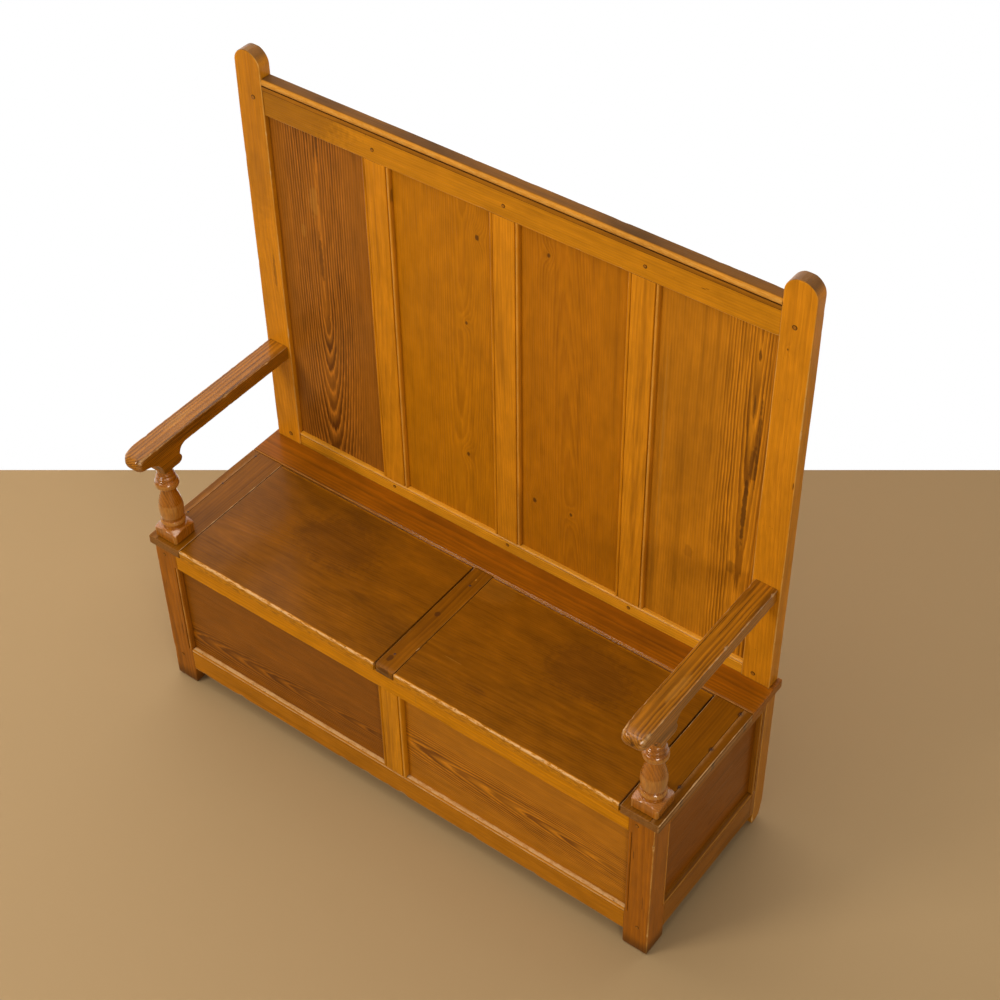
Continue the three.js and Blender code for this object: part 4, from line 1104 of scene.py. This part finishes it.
post_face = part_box("back_post_right")[0].y
front_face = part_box("front_top_rail")[0].y
PEGS = [
    (-0.590, 1.312, post_face), (0.594, 1.312, post_face), (-0.592, 0.452, post_face), (0.592, 0.452, post_face),
    (-0.301, 1.305, back_face), (-0.001, 1.305, back_face), (0.300, 1.305, back_face),
    (-0.301, 0.452, back_face), (-0.001, 0.452, back_face), (0.300, 0.452, back_face),
    (-0.606, 0.392, front_face), (0.591, 0.394, front_face), (-0.605, 0.078, front_face), (0.605, 0.078, front_face),
]
for i, (x, z, face) in enumerate(PEGS):
    levels = [(0.004, 1.0, 0.0), (-PROUD * 0.4, 1.0, 0.0), (-PROUD, 0.74, 0.0), (-PROUD * 1.1, 0.6, 0.75)]
    stud(
        "peg_" + str(i + 1), levels, POST_PEG if face == post_face else RAIL_PEG, PEG_SIDES, 0.12, 1, 61.0 + i,
        lambda a, b, depth: (x + a, face + depth, z + b), peg_wood,
    )

# Nails
# Hand-cut nails hold the end and centre boards down. Their rusty heads sit a little below the surface.

NAIL_RADIUS = 0.0028
NAIL_SIDES = 9
seat_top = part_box("lid_left")[1].z
NAILS = [(sign * NAIL_X, y) for sign in (-1, 1) for y in NAIL_ROWS]
NAILS += [(-0.012, -0.150), (-0.004, 0.085)]
for i, (x, y) in enumerate(NAILS):
    levels = [(0.003, 1.0, 0.0), (-0.0001, 1.0, 0.0), (-0.0004, 0.6, 0.0)]
    stud(
        "nail_" + str(i + 1), levels, NAIL_RADIUS, NAIL_SIDES, 0.2, 2, 80.0 + i,
        lambda a, b, depth: (x + a, y + b, seat_top - depth), iron,
    )

# Studio
# A plain pale floor, lit softly from the front left and above. A white wall behind it throws light back on to the
# settle. The camera doesn't see the wall, so it doesn't hide the back, and sees plain white in its place.

camera_data = bpy.data.cameras.new("camera")
LENS = 70.78
SENSOR = 36.0
camera_data.lens = LENS
camera_data.sensor_width = SENSOR
camera = put_in_scene("camera", camera_data)
bpy.context.scene.camera = camera
AZIMUTH = math.radians(37.2833)
ELEVATION = math.radians(44.0127)
DISTANCE = 3.6467
TARGET = Vector((0.1335, 0.01, 0.8142))
ROLL = -0.0162
back = Vector((
    math.sin(AZIMUTH) * math.cos(ELEVATION), -math.cos(AZIMUTH) * math.cos(ELEVATION), math.sin(ELEVATION)
))
level = Vector((0, 0, 1)).cross(back).normalized()
rise = back.cross(level)
right = level * math.cos(ROLL) + rise * math.sin(ROLL)
up = rise * math.cos(ROLL) - level * math.sin(ROLL)
turned = Matrix((right, up, back)).transposed().to_4x4()
camera.matrix_world = Matrix.Translation(TARGET + back * DISTANCE) @ turned

floor_tone, t = new_material("pale floor")
t.add("OutputMaterial", t.add("BsdfPrincipled", named={
    "Base Color": (0.345, 0.222, 0.095, 1), "Roughness": 0.75,
}).outputs[0])
wall_tone, t = new_material("white wall")
t.add("OutputMaterial", t.add("BsdfPrincipled", named={
    "Base Color": (0.95, 0.95, 0.95, 1), "Roughness": 0.9, "Emission Color": (1, 1, 1, 1), "Emission Strength": 0.6,
}).outputs[0])
WALL_LINE = 0.03
SPREAD = 8.0
eye = TARGET + back * DISTANCE
half_view = SENSOR / 2 / LENS
ends = []
for across in (-half_view, half_view):
    sight = -back + right * across + up * 2 * half_view * WALL_LINE
    ends.append(eye - sight * (eye.z / sight.z))
along_wall = (ends[1] - ends[0]).normalized()
middle = (ends[0] + ends[1]) / 2
left_end, right_end = middle - along_wall * SPREAD, middle + along_wall * SPREAD
nearer = Vector((along_wall.y, -along_wall.x, 0)) * SPREAD
tall = Vector((0, 0, 5))
for name, corners, tone in (
    ("floor", [left_end + nearer, right_end + nearer, right_end, left_end], floor_tone),
    ("wall", [left_end, right_end, right_end + tall, left_end + tall], wall_tone),
):
    mesh = bpy.data.meshes.new(name)
    mesh.from_pydata(corners, [], [(0, 1, 2, 3)])
    mesh.materials.append(tone)
    surface = put_in_scene(name, mesh)
    surface.visible_camera = name != "wall"

for name, place, size, power in (
    ("key", (-1.8, -3.4, 3.2), 1.3, 102), ("top", (0.2, -0.8, 3.8), 1.8, 45), ("fill", (3.4, -2.6, 1.6), 1.2, 58),
):
    lamp = bpy.data.lights.new(name, "AREA")
    lamp.size = size
    lamp.energy = power
    lamp.color = (1.0, 0.97, 0.93)
    holder = put_in_scene(name, lamp)
    holder.location = place
    aim = Vector((0, 0, 0.6)) - Vector(place)
    holder.rotation_mode = "QUATERNION"
    holder.rotation_quaternion = aim.to_track_quat("-Z", "Y")

world = bpy.data.worlds.new("studio")
world.use_nodes = True
world.node_tree.nodes.clear()
t = Tree(world.node_tree)
lit = t.add("Background", (1, 1, 1, 1), 0.22).outputs[0]
seen = t.add("Background", (1, 1, 1, 1), 1.0).outputs[0]
either = t.add("MixShader", t.add("LightPath").outputs["Is Camera Ray"], lit, seen).outputs[0]
t.add("OutputWorld", either)
bpy.context.scene.world = world
bpy.context.scene.view_settings.view_transform = "Standard"
